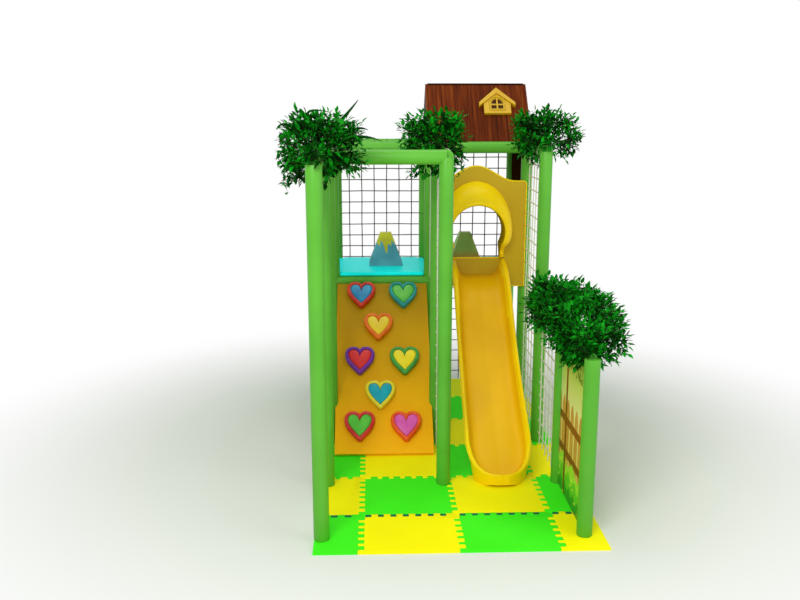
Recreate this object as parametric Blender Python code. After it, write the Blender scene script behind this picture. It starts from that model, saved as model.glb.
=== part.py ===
"""Indoor playground: a padded pipe frame with a climbing ramp, a raised deck, a slide and a small roof.

Columns a, b and c stand one post pitch apart along X, and rows 1 to 5 along Y, front to back.
The origin is below post b3, on the underside of the floor mats. Metres, +Z up.
"""

import math

import bmesh
import bpy
from mathutils import Matrix, Vector

CLEARANCE = 0.0003

# Post grid and heights above the floor
POST_PITCH = 0.8
MAT_THICKNESS = 0.012
TOP_RAIL_HEIGHT = 2.250
LOW_RAIL_HEIGHT = 1.127
DECK_RAIL_HEIGHT = 1.142

# Steel tube and the foam sleeve round it
PIPE_RADIUS = 0.0242
PIPE_SETBACK = 0.012
PIPE_SIDES = 8
LENGTH_PIPE_TURN = math.radians(10)
CROSS_PIPE_TURN = math.radians(18)
SLEEVE_RADIUS = 0.0477
SLEEVE_SIDES = 16

# Floor mats: how far they reach past the outer posts
MAT_PAST_LEFT = 0.045
MAT_PAST_RIGHT = 0.120
MAT_PAST_FRONT = 0.181
MAT_PAST_BACK = 0.053

# Deck pads and the foam peaks that stand on them
PAD_THICKNESS = 0.028
PAD_OVERHANG = 0.040
PAD_EDGE = 0.006
PEAK_BASE = 0.295
PEAK_TOP = 0.095
PEAK_HEIGHT = 0.280
PEAK_EDGE = 0.006
PEAK_SETBACK = 0.420
LEFT_PEAK_SHIFT = 0.040
RIGHT_PEAK_SHIFT = -0.060

# Climbing ramp
RAMP_WIDTH = 0.745
RAMP_THICKNESS = 0.040
RAMP_SLOPE = math.radians(46.26)
RAMP_FOOT_TO_DECK = 1.105
RAMP_REST = 0.004

# Heart-shaped climbing holds
HEART_WIDTH = 0.240
HEART_HEIGHT = 0.235
HEART_DEPTH = 0.056
HEART_POINTS = 16
HEART_BAND = 0.034
HEART_GROOVE = 0.005
HEART_EDGE = 0.009
# Each hold: name, distance right of the ramp's middle, distance up the slope from its foot, colour
HEARTS = (
    ("heart_red_blue", -0.172, 1.389, (0.80, 0.06, 0.02)),
    ("heart_teal_green", 0.173, 1.386, (0.02, 0.35, 0.38)),
    ("heart_orange_yellow", -0.034, 1.084, (0.90, 0.20, 0.01)),
    ("heart_purple_red", -0.184, 0.775, (0.20, 0.05, 0.35)),
    ("heart_green_yellow", 0.170, 0.771, (0.10, 0.45, 0.06)),
    ("heart_yellow_cyan", -0.026, 0.475, (0.80, 0.65, 0.03)),
    ("heart_red_green", -0.185, 0.213, (0.68, 0.03, 0.03)),
    ("heart_orange_pink", 0.168, 0.209, (0.90, 0.11, 0.01)),
)

# Slide: its bed line from the panel down to the floor, as distance in front of row 4 and height
SLIDE_TOP_HEIGHT = 1.206
SLIDE_BED = (
    (0.180, 1.197),
    (0.300, 1.135),
    (0.420, 1.030),
    (0.600, 0.838),
    (0.850, 0.608),
    (1.110, 0.407),
    (1.370, 0.232),
    (1.560, 0.122),
    (1.665, 0.079),
    (1.715, 0.070),
)
SLIDE_STEPS_PER_SPAN = 2
SLIDE_HALF_WIDTH = 0.230
SLIDE_FLARE = 0.012
SLIDE_RIM_HEIGHT = 0.106
SLIDE_RIM_WIDTH = 0.034
SLIDE_SEAT_RISE = 0.030
SLIDE_SEAT_LENGTH = 0.160
SLIDE_FLOOR = 0.024
SLIDE_NOSE = 0.200

# Hood panel: a moulded plate with a wavy top and a keyhole opening under a hood
PANEL_THICKNESS = 0.026
PANEL_BOTTOM = 1.102
PANEL_SHOULDER = 1.984
PANEL_CROWN = 0.124
SILL_HEIGHT = 1.340
DOOR_TOP = 1.797
DOOR_HALF_WIDTH = 0.214
NECK_HALF_WIDTH = 0.196
HOOD_SHIFT = -0.024
HOOD_DEPTH = 0.225
HOOD_FLARE_TOP = 0.184
HOOD_FLARE_SIDE = 0.088
HOOD_LIP = 0.016
HOOD_BOTTOM = 1.352
HOOD_POINTS = 22

# Nets
ROPE_RADIUS = 0.005
BACK_NET_COLUMNS = 7
LEFT_NET_COLUMNS = 3
BAY_NET_COLUMNS = 4
BACK_NET_ROW = 0.1016
SIDE_NET_ROW = 0.245
NET_BOTTOM = 0.022

# Roof over the right bay
ROOF_RISE = 0.466
ROOF_BOARD = 0.018
ROOF_PAST_LEFT = 0.020
ROOF_PAST_RIGHT = 0.035
EAVE_PAST_RAIL = 0.012

# House-shaped ornament on the front slope
ORNAMENT_SHIFT = 0.173
ORNAMENT_DROP = 0.070
ORNAMENT_WIDTH = 0.224
ORNAMENT_HEIGHT = 0.270
ORNAMENT_WALL = 0.150
ORNAMENT_DEPTH = 0.022
ORNAMENT_EAVE = 0.040
ORNAMENT_CHEVRON = 0.040
ORNAMENT_CHEVRON_DEPTH = 0.034
WINDOW_WIDTH = 0.100
WINDOW_HEIGHT = 0.112
WINDOW_SILL = 0.048
WINDOW_BAR = 0.012
WINDOW_DEPTH = 0.010

# Side panels
PANEL_BOARD = 0.014
PLANK_WIDTH = 0.096
PLANK_GROOVE = 0.005
FENCE_BOTTOM = 0.022

# Shrubs: half sizes of the leafy body
SHRUB_HALF_WIDTH = 0.285
SHRUB_HALF_DEPTH = 0.270
SHRUB_HALF_HEIGHT = 0.215
HEDGE_HALF_WIDTH = 0.290
HEDGE_HALF_HEIGHT = 0.200

COLUMN = {"a": -1, "b": 0, "c": 1}
MAT_TOP = MAT_THICKNESS + CLEARANCE
PAD_BOTTOM = DECK_RAIL_HEIGHT + SLEEVE_RADIUS + CLEARANCE
PAD_TOP = PAD_BOTTOM + PAD_THICKNESS
RAIL_TOP = TOP_RAIL_HEIGHT + SLEEVE_RADIUS
SLEEVE_CUT = SLEEVE_RADIUS + CLEARANCE / math.cos(math.pi / SLEEVE_SIDES)
PIPE_CUT = CLEARANCE / math.cos(math.pi / PIPE_SIDES)
LEFT_BAY = -POST_PITCH / 2
RIGHT_BAY = POST_PITCH / 2

TALL_POSTS = ("a1", "a2", "a3", "a4", "a5", "b2", "b3", "b4", "b5", "c3", "c4", "c5")
SHORT_POSTS = ("c1", "c2")

# Sleeves of the top rails, each coped onto those before it
TOP_RAILS = (
    ("top_rail_row_5", "a5", "c5"),
    ("top_rail_left", "a1", "a5"),
    ("top_rail_row_2", "a2", "b2"),
    ("top_rail_middle", "b2", "b5"),
    ("top_rail_right", "c3", "c5"),
    ("top_rail_row_4_left", "a4", "b4"),
    ("top_rail_row_4_right", "b4", "c4"),
)
LOW_RAIL = ("low_rail_right", "c1", "c3")
DECK_RAILS = (
    ("deck_rail_row_4_left", "a4", "b4"),
    ("deck_rail_row_4_right", "b4", "c4"),
    ("deck_rail_row_5_left", "a5", "b5"),
    ("deck_rail_row_5_right", "b5", "c5"),
)
# Steel tubes that run along X and along Y, with their heights
CROSS_PIPES = (
    ("a2", "b2", TOP_RAIL_HEIGHT),
    ("a4", "c4", TOP_RAIL_HEIGHT),
    ("a5", "c5", TOP_RAIL_HEIGHT),
    ("a4", "c4", DECK_RAIL_HEIGHT),
    ("a5", "c5", DECK_RAIL_HEIGHT),
)
LENGTH_PIPES = (
    ("a1", "a5", TOP_RAIL_HEIGHT),
    ("b2", "b5", TOP_RAIL_HEIGHT),
    ("c3", "c5", TOP_RAIL_HEIGHT),
    ("c1", "c3", LOW_RAIL_HEIGHT),
)


def spot(post, height):
    """The point on a post's axis at a height."""
    return Vector((COLUMN[post[0]] * POST_PITCH, row_y(int(post[1])), height))


def row_y(row):
    return (row - 3) * POST_PITCH


def material(name, colour, roughness, metallic=0.0):
    made = bpy.data.materials.new(name)
    made.use_nodes = True
    shader = made.node_tree.nodes["Principled BSDF"]
    shader.inputs["Base Color"].default_value = (*colour, 1.0)
    shader.inputs["Roughness"].default_value = roughness
    shader.inputs["Metallic"].default_value = metallic
    return made


def add_object(name, form, look=None):
    """Turns a bmesh into an object; without a material it is a cutting tool."""
    bmesh.ops.remove_doubles(form, verts=form.verts, dist=1e-6)
    bmesh.ops.recalc_face_normals(form, faces=form.faces)
    mesh = bpy.data.meshes.new(name)
    form.to_mesh(mesh)
    form.free()
    made = bpy.data.objects.new(name, mesh)
    bpy.context.scene.collection.objects.link(made)
    if look:
        mesh.materials.append(look)
    else:
        made.hide_render = True
        made.display_type = "WIRE"
    return made


def smooth(made, angle=35):
    made.data.shade_smooth()
    made.data.set_sharp_from_angle(angle=math.radians(angle))


def carve(body, tool, operation="DIFFERENCE", solver="EXACT", keep=False):
    """Applies one Boolean to a body and removes the tool."""
    step = body.modifiers.new("carve", "BOOLEAN")
    step.operation = operation
    step.object = tool
    step.solver = solver
    bpy.context.view_layer.update()
    graph = bpy.context.evaluated_depsgraph_get()
    mesh = bpy.data.meshes.new_from_object(body.evaluated_get(graph))
    body.modifiers.clear()
    plain = body.data
    body.data = mesh
    bpy.data.meshes.remove(plain)
    if not keep:
        bpy.data.objects.remove(tool)


def add_ring(form, centre, side, other, radius, sides, turned=0.0):
    """A ring of points, the first on the side vector or turned away from it."""
    points = []
    for step in range(sides):
        turn = 2 * math.pi * step / sides + turned
        offset = radius * (math.cos(turn) * side + math.sin(turn) * other)
        points.append(form.verts.new(centre + offset))
    return points


def bridge(form, first, second):
    """Quads between two closed rows of points of the same length."""
    count = len(first)
    for step in range(count):
        after = (step + 1) % count
        form.faces.new((first[step], first[after], second[after], second[step]))


def add_cylinder(form, start, end, radius, sides, turned=0.0):
    along = (end - start).normalized()
    side = Vector((1, 0, 0)) if abs(along.z) > 0.5 else Vector((0, 0, 1))
    other = along.cross(side)
    first = add_ring(form, start, side, other, radius, sides, turned)
    second = add_ring(form, end, side, other, radius, sides, turned)
    bridge(form, first, second)
    form.faces.new(first)
    form.faces.new(second)


def cylinder(name, start, end, radius, sides, look=None):
    form = bmesh.new()
    add_cylinder(form, start, end, radius, sides)
    return add_object(name, form, look)


def prism(outline, start, end, place):
    """A bmesh of a flat outline extruded from start to end, each point put in place by a function."""
    form = bmesh.new()
    near = [form.verts.new(place(u, v, start)) for u, v in outline]
    far = [form.verts.new(place(u, v, end)) for u, v in outline]
    bridge(form, near, far)
    form.faces.new(near)
    form.faces.new(far)
    return form


def upright(x, z, y):
    """Puts an outline in the XZ plane, extruded along Y."""
    return Vector((x, y, z))


def sideways(y, z, x):
    """Puts an outline in the YZ plane, extruded along X."""
    return Vector((x, y, z))


def level(x, y, z):
    """Puts an outline in the XY plane, extruded along Z."""
    return Vector((x, y, z))


def rectangle(low_u, low_v, high_u, high_v):
    return [(low_u, low_v), (high_u, low_v), (high_u, high_v), (low_u, high_v)]


def add_bevel(made, width, segments=1, angle=40):
    step = made.modifiers.new("edges", "BEVEL")
    step.width = width
    step.segments = segments
    step.limit_method = "ANGLE"
    step.angle_limit = math.radians(angle)


def make_pipes(name, extra, look=None):
    """All the steel tubes as one clamped frame; extra widens and lengthens them for a cutting tool."""
    radius = PIPE_RADIUS + extra
    form = bmesh.new()
    for post in TALL_POSTS + SHORT_POSTS:
        height = TOP_RAIL_HEIGHT if post in TALL_POSTS else LOW_RAIL_HEIGHT
        start = spot(post, MAT_TOP - extra)
        end = spot(post, height - PIPE_SETBACK + extra)
        add_cylinder(form, start, end, radius, PIPE_SIDES)
    frame = add_object(name, form, look)
    for group, turned in ((LENGTH_PIPES, LENGTH_PIPE_TURN), (CROSS_PIPES, CROSS_PIPE_TURN)):
        form = bmesh.new()
        for first, last, height in group:
            start = spot(first, height)
            end = spot(last, height)
            inset = (end - start).normalized() * (PIPE_SETBACK - extra)
            add_cylinder(form, start + inset, end - inset, radius, PIPE_SIDES, turned)
        carve(frame, add_object("tubes", form), "UNION")
    return frame


def sleeve_ends(first, last, height):
    return spot(first, height), spot(last, height)


def crosses(first, second):
    """Whether two sleeves, each given by its two ends, come within reach of each other."""
    reach = 2 * SLEEVE_RADIUS
    for axis in range(3):
        low = max(min(end[axis] for end in first), min(end[axis] for end in second))
        high = min(max(end[axis] for end in first), max(end[axis] for end in second))
        if low > high + reach:
            return False
    return True


def make_sleeve(name, ends, neighbours, bore, look):
    """A foam sleeve, coped onto its neighbours and bored for the tubes.

    Copes of one radius cross edge on edge, which the exact solver leaves open.
    """
    sleeve = cylinder(name, *ends, SLEEVE_RADIUS, SLEEVE_SIDES, look)
    for start, end in neighbours:
        if crosses(ends, (start, end)):
            past = (end - start).normalized() * CLEARANCE
            cope = cylinder("cope", start - past, end + past, SLEEVE_CUT, SLEEVE_SIDES)
            carve(sleeve, cope, solver="MANIFOLD")
    carve(sleeve, bore, solver="MANIFOLD", keep=True)
    smooth(sleeve)


def make_sleeves(look):
    bore = make_pipes("bore", PIPE_CUT)
    top = []
    for name, first, last in TOP_RAILS:
        ends = sleeve_ends(first, last, TOP_RAIL_HEIGHT)
        make_sleeve(name, ends, top, bore, look)
        top.append(ends)
    tall = []
    for post in TALL_POSTS:
        ends = (spot(post, MAT_TOP), spot(post, TOP_RAIL_HEIGHT))
        make_sleeve("post_" + post, ends, top, bore, look)
        tall.append(ends)
    low = sleeve_ends(*LOW_RAIL[1:], LOW_RAIL_HEIGHT)
    make_sleeve(LOW_RAIL[0], low, tall, bore, look)
    for post in SHORT_POSTS:
        ends = (spot(post, MAT_TOP), spot(post, LOW_RAIL_HEIGHT))
        make_sleeve("post_" + post, ends, [low], bore, look)
    for name, first, last in DECK_RAILS:
        ends = sleeve_ends(first, last, DECK_RAIL_HEIGHT)
        make_sleeve(name, ends, tall, bore, look)
    bpy.data.objects.remove(bore)


def make_mats(look):
    left = -POST_PITCH - MAT_PAST_LEFT
    right = POST_PITCH + MAT_PAST_RIGHT
    front = row_y(1) - MAT_PAST_FRONT
    back = row_y(5) + MAT_PAST_BACK
    add_object("floor_mats", prism(rectangle(left, front, right, back), 0, MAT_THICKNESS, level), look)


def make_pad(name, low_x, high_x, right_trim, look):
    """A deck pad, notched round the four posts of its bay."""
    notch = SLEEVE_RADIUS + CLEARANCE
    front = row_y(4) - PAD_OVERHANG
    back = row_y(5)
    inner_front = row_y(4) + notch
    inner_back = row_y(5) - notch
    outline = [
        (low_x + notch, front),
        (high_x - notch, front),
        (high_x - notch, inner_front),
        (high_x - right_trim, inner_front),
        (high_x - right_trim, inner_back),
        (high_x - notch, inner_back),
        (high_x - notch, back),
        (low_x + notch, back),
        (low_x + notch, inner_back),
        (low_x + CLEARANCE, inner_back),
        (low_x + CLEARANCE, inner_front),
        (low_x + notch, inner_front),
    ]
    pad = add_object(name, prism(outline, PAD_BOTTOM, PAD_TOP, level), look)
    add_bevel(pad, PAD_EDGE)
    smooth(pad)


def make_peak(name, centre_x, look):
    """A foam mountain: a square block that narrows upwards."""
    form = bmesh.new()
    centre_y = row_y(4) + PEAK_SETBACK
    rings = []
    for half, z in ((PEAK_BASE / 2, PAD_TOP + CLEARANCE), (PEAK_TOP / 2, PAD_TOP + PEAK_HEIGHT)):
        corners = rectangle(centre_x - half, centre_y - half, centre_x + half, centre_y + half)
        rings.append([form.verts.new((x, y, z)) for x, y in corners])
    bridge(form, *rings)
    for ring in rings:
        form.faces.new(ring)
    peak = add_object(name, form, look)
    add_bevel(peak, PEAK_EDGE, 2)
    smooth(peak)


def ramp_axes():
    """The ramp's foot at its front face, and the directions up its slope and out of its face."""
    up = Vector((0, math.cos(RAMP_SLOPE), math.sin(RAMP_SLOPE)))
    out = Vector((0, -math.sin(RAMP_SLOPE), math.cos(RAMP_SLOPE)))
    foot_z = MAT_TOP + RAMP_THICKNESS * math.cos(RAMP_SLOPE) - RAMP_REST
    foot = Vector((LEFT_BAY, row_y(4) - RAMP_FOOT_TO_DECK, foot_z))
    return foot, up, out


def make_ramp(look):
    foot, up, out = ramp_axes()
    rail = Vector((LEFT_BAY, row_y(4), DECK_RAIL_HEIGHT))
    length = (rail - foot).dot(up) - SLEEVE_CUT
    back_rise = RAMP_REST / math.sin(RAMP_SLOPE)
    end_rise = RAMP_REST / math.cos(RAMP_SLOPE)
    corners = (
        foot,
        foot + up * length,
        foot + up * length - out * RAMP_THICKNESS,
        foot + up * back_rise - out * RAMP_THICKNESS,
        foot - out * (RAMP_THICKNESS - end_rise),
    )
    outline = [(corner.y, corner.z) for corner in corners]
    half = RAMP_WIDTH / 2
    ramp = add_object("climbing_ramp", prism(outline, LEFT_BAY - half, LEFT_BAY + half, sideways), look)
    for post in ("a3", "b3", "a4", "b4"):
        ends = (spot(post, 0), spot(post, TOP_RAIL_HEIGHT))
        carve(ramp, cylinder("notch", *ends, SLEEVE_CUT, SLEEVE_SIDES))


def heart_outline(width, height, points):
    """A heart about its own middle: two round lobes and a point at the bottom."""
    outline = []
    for step in range(points):
        turn = 2 * math.pi * (step + 0.5) / points
        across = math.copysign(abs(math.sin(turn)) ** 2.6, math.sin(turn))
        rise = (13 * math.cos(turn) - 5 * math.cos(2 * turn) - 2 * math.cos(3 * turn)) / 29 + 0.07
        outline.append((across * width / 2, rise * height))
    return outline


def make_heart(name, shift, climb, look):
    """A raised band round a flat heart, with a groove between them."""
    foot, up, out = ramp_axes()
    centre = foot + Vector((shift, 0, 0)) + up * climb
    levels = (
        (0, CLEARANCE),
        (0, HEART_DEPTH - HEART_EDGE),
        (HEART_EDGE, HEART_DEPTH),
        (HEART_BAND, HEART_DEPTH),
        (HEART_BAND + HEART_GROOVE, HEART_DEPTH - HEART_EDGE),
        (HEART_BAND + 2 * HEART_GROOVE, HEART_DEPTH - HEART_EDGE / 2),
    )
    form = bmesh.new()
    rings = []
    for inset, lift in levels:
        width = HEART_WIDTH - 2 * inset
        height = HEART_HEIGHT * width / HEART_WIDTH
        ring = []
        for across, rise in heart_outline(width, height, HEART_POINTS):
            ring.append(form.verts.new(centre + Vector((across, 0, 0)) + up * rise + out * lift))
        rings.append(ring)
    for lower, upper in zip(rings, rings[1:]):
        bridge(form, lower, upper)
    form.faces.new(rings[0])
    form.faces.new(rings[-1])
    smooth(add_object(name, form, look))


def smooth_path(points, steps):
    """Points on a Catmull-Rom curve through the given ones."""
    ends = [points[0] * 2 - points[1], *points, points[-1] * 2 - points[-2]]
    path = []
    for index in range(1, len(ends) - 2):
        before, start, end, after = ends[index - 1 : index + 3]
        for step in range(steps):
            t = step / steps
            bend = (2 * before - 5 * start + 4 * end - after) * t * t
            twist = (3 * start - before - 3 * end + after) * t**3
            path.append((2 * start + (end - before) * t + bend + twist) / 2)
    path.append(points[-1])
    return path


def slide_section(half_width, rim):
    """The slide's section, as distance across and height over its bed, from the left rim round."""
    inner = half_width - SLIDE_RIM_WIDTH
    bed = inner - 0.3 * rim
    half = [
        (bed, 0.0),
        (bed + 0.14 * rim, 0.12 * rim),
        (inner - 0.02 * rim, 0.80 * rim),
        (inner + 0.25 * SLIDE_RIM_WIDTH, rim),
        (inner + 0.75 * SLIDE_RIM_WIDTH, rim),
        (half_width, 0.84 * rim),
        (half_width - 0.06 * rim, -0.4 * SLIDE_FLOOR),
        (half_width - 0.30 * rim, -SLIDE_FLOOR),
    ]
    mirrored = [(-across, lift) for across, lift in reversed(half)]
    return half + mirrored


def make_slide(look):
    """A moulded slide: one section drawn down its bed line, with a round nose that stands on the mats."""
    seat = SLEEVE_RADIUS + PANEL_THICKNESS + 2 * CLEARANCE
    line = ((seat, SLIDE_TOP_HEIGHT), *SLIDE_BED)
    bed = [Vector((RIGHT_BAY, row_y(4) - ahead, height)) for ahead, height in line]
    path = smooth_path(bed, SLIDE_STEPS_PER_SPAN)
    travelled = [0.0]
    for start, end in zip(path, path[1:]):
        travelled.append(travelled[-1] + (end - start).length)
    form = bmesh.new()
    rings = []
    for index, centre in enumerate(path):
        back = path[max(index - 1, 0)]
        front = path[min(index + 1, len(path) - 1)]
        along = (front - back).normalized()
        lift = Vector((1, 0, 0)).cross(-along)
        to_nose = travelled[-1] - travelled[index]
        nose = min(to_nose / SLIDE_NOSE, 1.0)
        round_off = math.sqrt(1 - 0.80 * (1 - nose) ** 2)
        flare = SLIDE_FLARE * min(travelled[index] / travelled[-1], 1.0) ** 4
        seat_part = max(0.0, 1 - travelled[index] / SLIDE_SEAT_LENGTH)
        rim = SLIDE_RIM_HEIGHT * (0.12 + 0.88 * nose**0.8) + SLIDE_SEAT_RISE * seat_part**2
        ring = []
        for across, height in slide_section(SLIDE_HALF_WIDTH + flare, rim):
            point = centre + Vector((across * round_off, 0, 0)) + lift * height
            if to_nose < SLIDE_NOSE and height < 0:
                point.z = MAT_TOP
            point.y = min(point.y, bed[0].y)
            ring.append(form.verts.new(point))
        rings.append(ring)
    for first, second in zip(rings, rings[1:]):
        bridge(form, first, second)
    form.faces.new(rings[0])
    form.faces.new(rings[-1])
    smooth(add_object("slide", form, look))


def door_outline(grow_side, grow_top, bottom):
    """The keyhole from its left foot over the arch to its right foot; the grow values widen it."""
    half = DOOR_HALF_WIDTH + grow_side
    neck = NECK_HALF_WIDTH + grow_side
    centre_z = DOOR_TOP - DOOR_HALF_WIDTH
    top = DOOR_TOP + grow_top
    reach = math.radians(128)
    outline = [(-neck, bottom)]
    arch = []
    for step in range(HOOD_POINTS + 1):
        turn = -reach + 2 * reach * step / HOOD_POINTS
        across = half * math.sin(turn)
        rise = (top - centre_z) * math.cos(turn) if abs(turn) < math.pi / 2 else half * math.cos(turn)
        across = math.copysign(max(abs(across), neck), across) if abs(turn) > math.pi / 2 else across
        arch.append((across, centre_z + rise))
    outline += arch
    outline.append((neck, bottom))
    return outline


def panel_outline():
    """The plate's outline: straight sides and foot, and a wavy top with a crown in the middle."""
    half = POST_PITCH / 2 - ROPE_RADIUS - CLEARANCE
    outline = [(half, PANEL_BOTTOM), (half, PANEL_SHOULDER)]
    steps = 16
    for step in range(1, steps):
        across = half * (1 - 2 * step / steps)
        from_crown = min(abs(across - HOOD_SHIFT) / (half * 0.82), 1.0)
        swell = (1 + math.cos(math.pi * from_crown)) / 2
        outline.append((across, PANEL_SHOULDER + PANEL_CROWN * swell))
    outline += [(-half, PANEL_SHOULDER), (-half, PANEL_BOTTOM)]
    return outline


def make_hood_panel(look):
    """The plate on the posts, the hood that swells out of it, and the keyhole through both."""
    back = row_y(4) - SLEEVE_RADIUS - CLEARANCE
    front = back - PANEL_THICKNESS
    rim = back - HOOD_DEPTH
    outline = [(RIGHT_BAY + across, height) for across, height in panel_outline()]
    panel = add_object("hood_panel", prism(outline, front, back, upright), look)
    door_x = RIGHT_BAY + HOOD_SHIFT
    hole = [(door_x + across, height) for across, height in door_outline(0, 0, SILL_HEIGHT)]
    carve(panel, add_object("door", prism(hole, front - PANEL_THICKNESS, back + PANEL_THICKNESS, upright)))
    middle = (front + rim) / 2
    stations = (
        (HOOD_FLARE_SIDE, HOOD_FLARE_TOP, front + PANEL_THICKNESS / 2),
        (0.86 * HOOD_FLARE_SIDE, 0.82 * HOOD_FLARE_TOP, front - 0.10 * HOOD_DEPTH),
        (0.52 * HOOD_FLARE_SIDE, 0.44 * HOOD_FLARE_TOP, middle - 0.12 * HOOD_DEPTH),
        (HOOD_LIP, HOOD_LIP, rim + 0.02 * HOOD_DEPTH),
        (HOOD_LIP / 2, HOOD_LIP / 2, rim),
        (0.0, 0.0, rim + 0.02 * HOOD_DEPTH),
        (0.0, 0.0, front + PANEL_THICKNESS / 2),
    )
    form = bmesh.new()
    rows = []
    for side, top, y in stations:
        arch = door_outline(side, top, HOOD_BOTTOM)
        rows.append([form.verts.new((door_x + across, y, height)) for across, height in arch])
    for first, second in zip(rows, rows[1:] + rows[:1]):
        for step in range(len(first) - 1):
            form.faces.new((first[step], first[step + 1], second[step + 1], second[step]))
    form.faces.new([row[0] for row in rows])
    form.faces.new([row[-1] for row in rows])
    carve(panel, add_object("hood", form), "UNION")
    smooth(panel, 30)


def net_form(across, heights, low_u, high_u, high_w, place):
    """A rope net of diamond section: ropes at the given places, with ends out to both sides and up."""
    form = bmesh.new()
    half = ROPE_RADIUS
    knots = []
    for u in across:
        column = []
        for w in heights:
            knot = {"front": form.verts.new(place(u, w, half)), "back": form.verts.new(place(u, w, -half))}
            for side_u in (-1, 1):
                for side_w in (-1, 1):
                    corner = place(u + side_u * half, w + side_w * half, 0)
                    knot[side_u, side_w] = form.verts.new(corner)
            column.append(knot)
        knots.append(column)

    def side_loop(knot, step_u, step_w):
        if step_u:
            return [knot["front"], knot[step_u, 1], knot["back"], knot[step_u, -1]]
        return [knot["front"], knot[1, step_w], knot["back"], knot[-1, step_w]]

    def rope_end(knot, u, w, step_u, step_w):
        """Closes a knot's side, with a length of rope out to (u, w) where that is given."""
        loop = side_loop(knot, step_u, step_w)
        if u is not None:
            side = (0, half) if step_u else (half, 0)
            tip = [
                form.verts.new(place(u, w, half)),
                form.verts.new(place(u + side[0], w + side[1], 0)),
                form.verts.new(place(u, w, -half)),
                form.verts.new(place(u - side[0], w - side[1], 0)),
            ]
            bridge(form, loop, tip)
            loop = tip
        form.faces.new(loop)

    last_u = len(across) - 1
    last_w = len(heights) - 1
    for i, u in enumerate(across):
        for j, w in enumerate(heights):
            knot = knots[i][j]
            if i < last_u:
                bridge(form, side_loop(knot, 1, 0), side_loop(knots[i + 1][j], -1, 0))
            else:
                rope_end(knot, high_u, w, 1, 0)
            if i == 0:
                rope_end(knot, low_u, w, -1, 0)
            if j < last_w:
                bridge(form, side_loop(knot, 0, 1), side_loop(knots[i][j + 1], 0, -1))
            else:
                rope_end(knot, u if high_w else None, high_w, 0, 1)
            if j == 0:
                rope_end(knot, None, None, 0, -1)
    return form


def net_heights(bottom, row, limit):
    count = int((limit - bottom) / row - 0.2)
    return [bottom + row * step for step in range(count + 1)]


def make_outside_net(name, first, last, columns, row, look):
    """A net laced to the outside of a line of posts, from the floor to the top rail's middle."""
    start = spot(first, 0)
    end = spot(last, 0)
    along = (end - start).normalized()
    out = along.cross(Vector((0, 0, 1)))
    if out.dot(start) < 0:
        out = -out
    offset = SLEEVE_RADIUS + CLEARANCE + ROPE_RADIUS
    bays = round((end - start).length / POST_PITCH)
    count = bays * columns
    across = [POST_PITCH / columns * step for step in range(count + 1)]
    heights = net_heights(NET_BOTTOM, row, TOP_RAIL_HEIGHT)

    def place(u, w, depth):
        return start + along * u + out * (offset + depth) + Vector((0, 0, w))

    add_object(name, net_form(across, heights, None, None, TOP_RAIL_HEIGHT, place), look)


def make_bay_net(name, first, last, bottom, rail_height, look):
    """A net between two neighbouring posts, tied to both and to the rail above."""
    start = spot(first, 0)
    along = (spot(last, 0) - start).normalized()
    out = Vector((1, 0, 0))
    reach = SLEEVE_CUT
    gap = POST_PITCH / BAY_NET_COLUMNS
    across = [gap * step for step in range(1, BAY_NET_COLUMNS)]
    top = rail_height - SLEEVE_CUT
    heights = net_heights(bottom, SIDE_NET_ROW, top)

    def place(u, w, depth):
        return start + along * u + out * depth + Vector((0, 0, w))

    add_object(name, net_form(across, heights, reach, POST_PITCH - reach, top, place), look)


def make_roof(board_look, gable_look):
    """Two boards that lean together over the right bay, with a board closing each end."""
    left = -ROOF_PAST_LEFT
    right = POST_PITCH + ROOF_PAST_RIGHT
    ridge_y = (row_y(4) + row_y(5)) / 2
    run = ridge_y - row_y(4) + EAVE_PAST_RAIL
    base = RAIL_TOP + CLEARANCE
    slope = math.atan2(ROOF_RISE, run)
    drop = ROOF_BOARD / math.cos(slope)
    inward = ROOF_BOARD / math.sin(slope)
    outline = [(run, 0), (CLEARANCE, ROOF_RISE), (CLEARANCE, ROOF_RISE - drop), (run - inward, 0)]
    for name, side in (("roof_front_board", -1), ("roof_back_board", 1)):
        profile = [(ridge_y + side * y, base + z) for y, z in outline]
        add_object(name, prism(profile, left, right, sideways), board_look)
    seat = CLEARANCE / math.sin(slope)
    peak = ROOF_RISE - drop - CLEARANCE / math.cos(slope)
    foot = run - inward - seat
    gable = [(ridge_y - foot, base), (ridge_y + foot, base), (ridge_y, base + peak)]
    for name, low_x in (("roof_left_gable", left), ("roof_right_gable", right - ROOF_BOARD)):
        add_object(name, prism(gable, low_x, low_x + ROOF_BOARD, sideways), gable_look)


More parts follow.
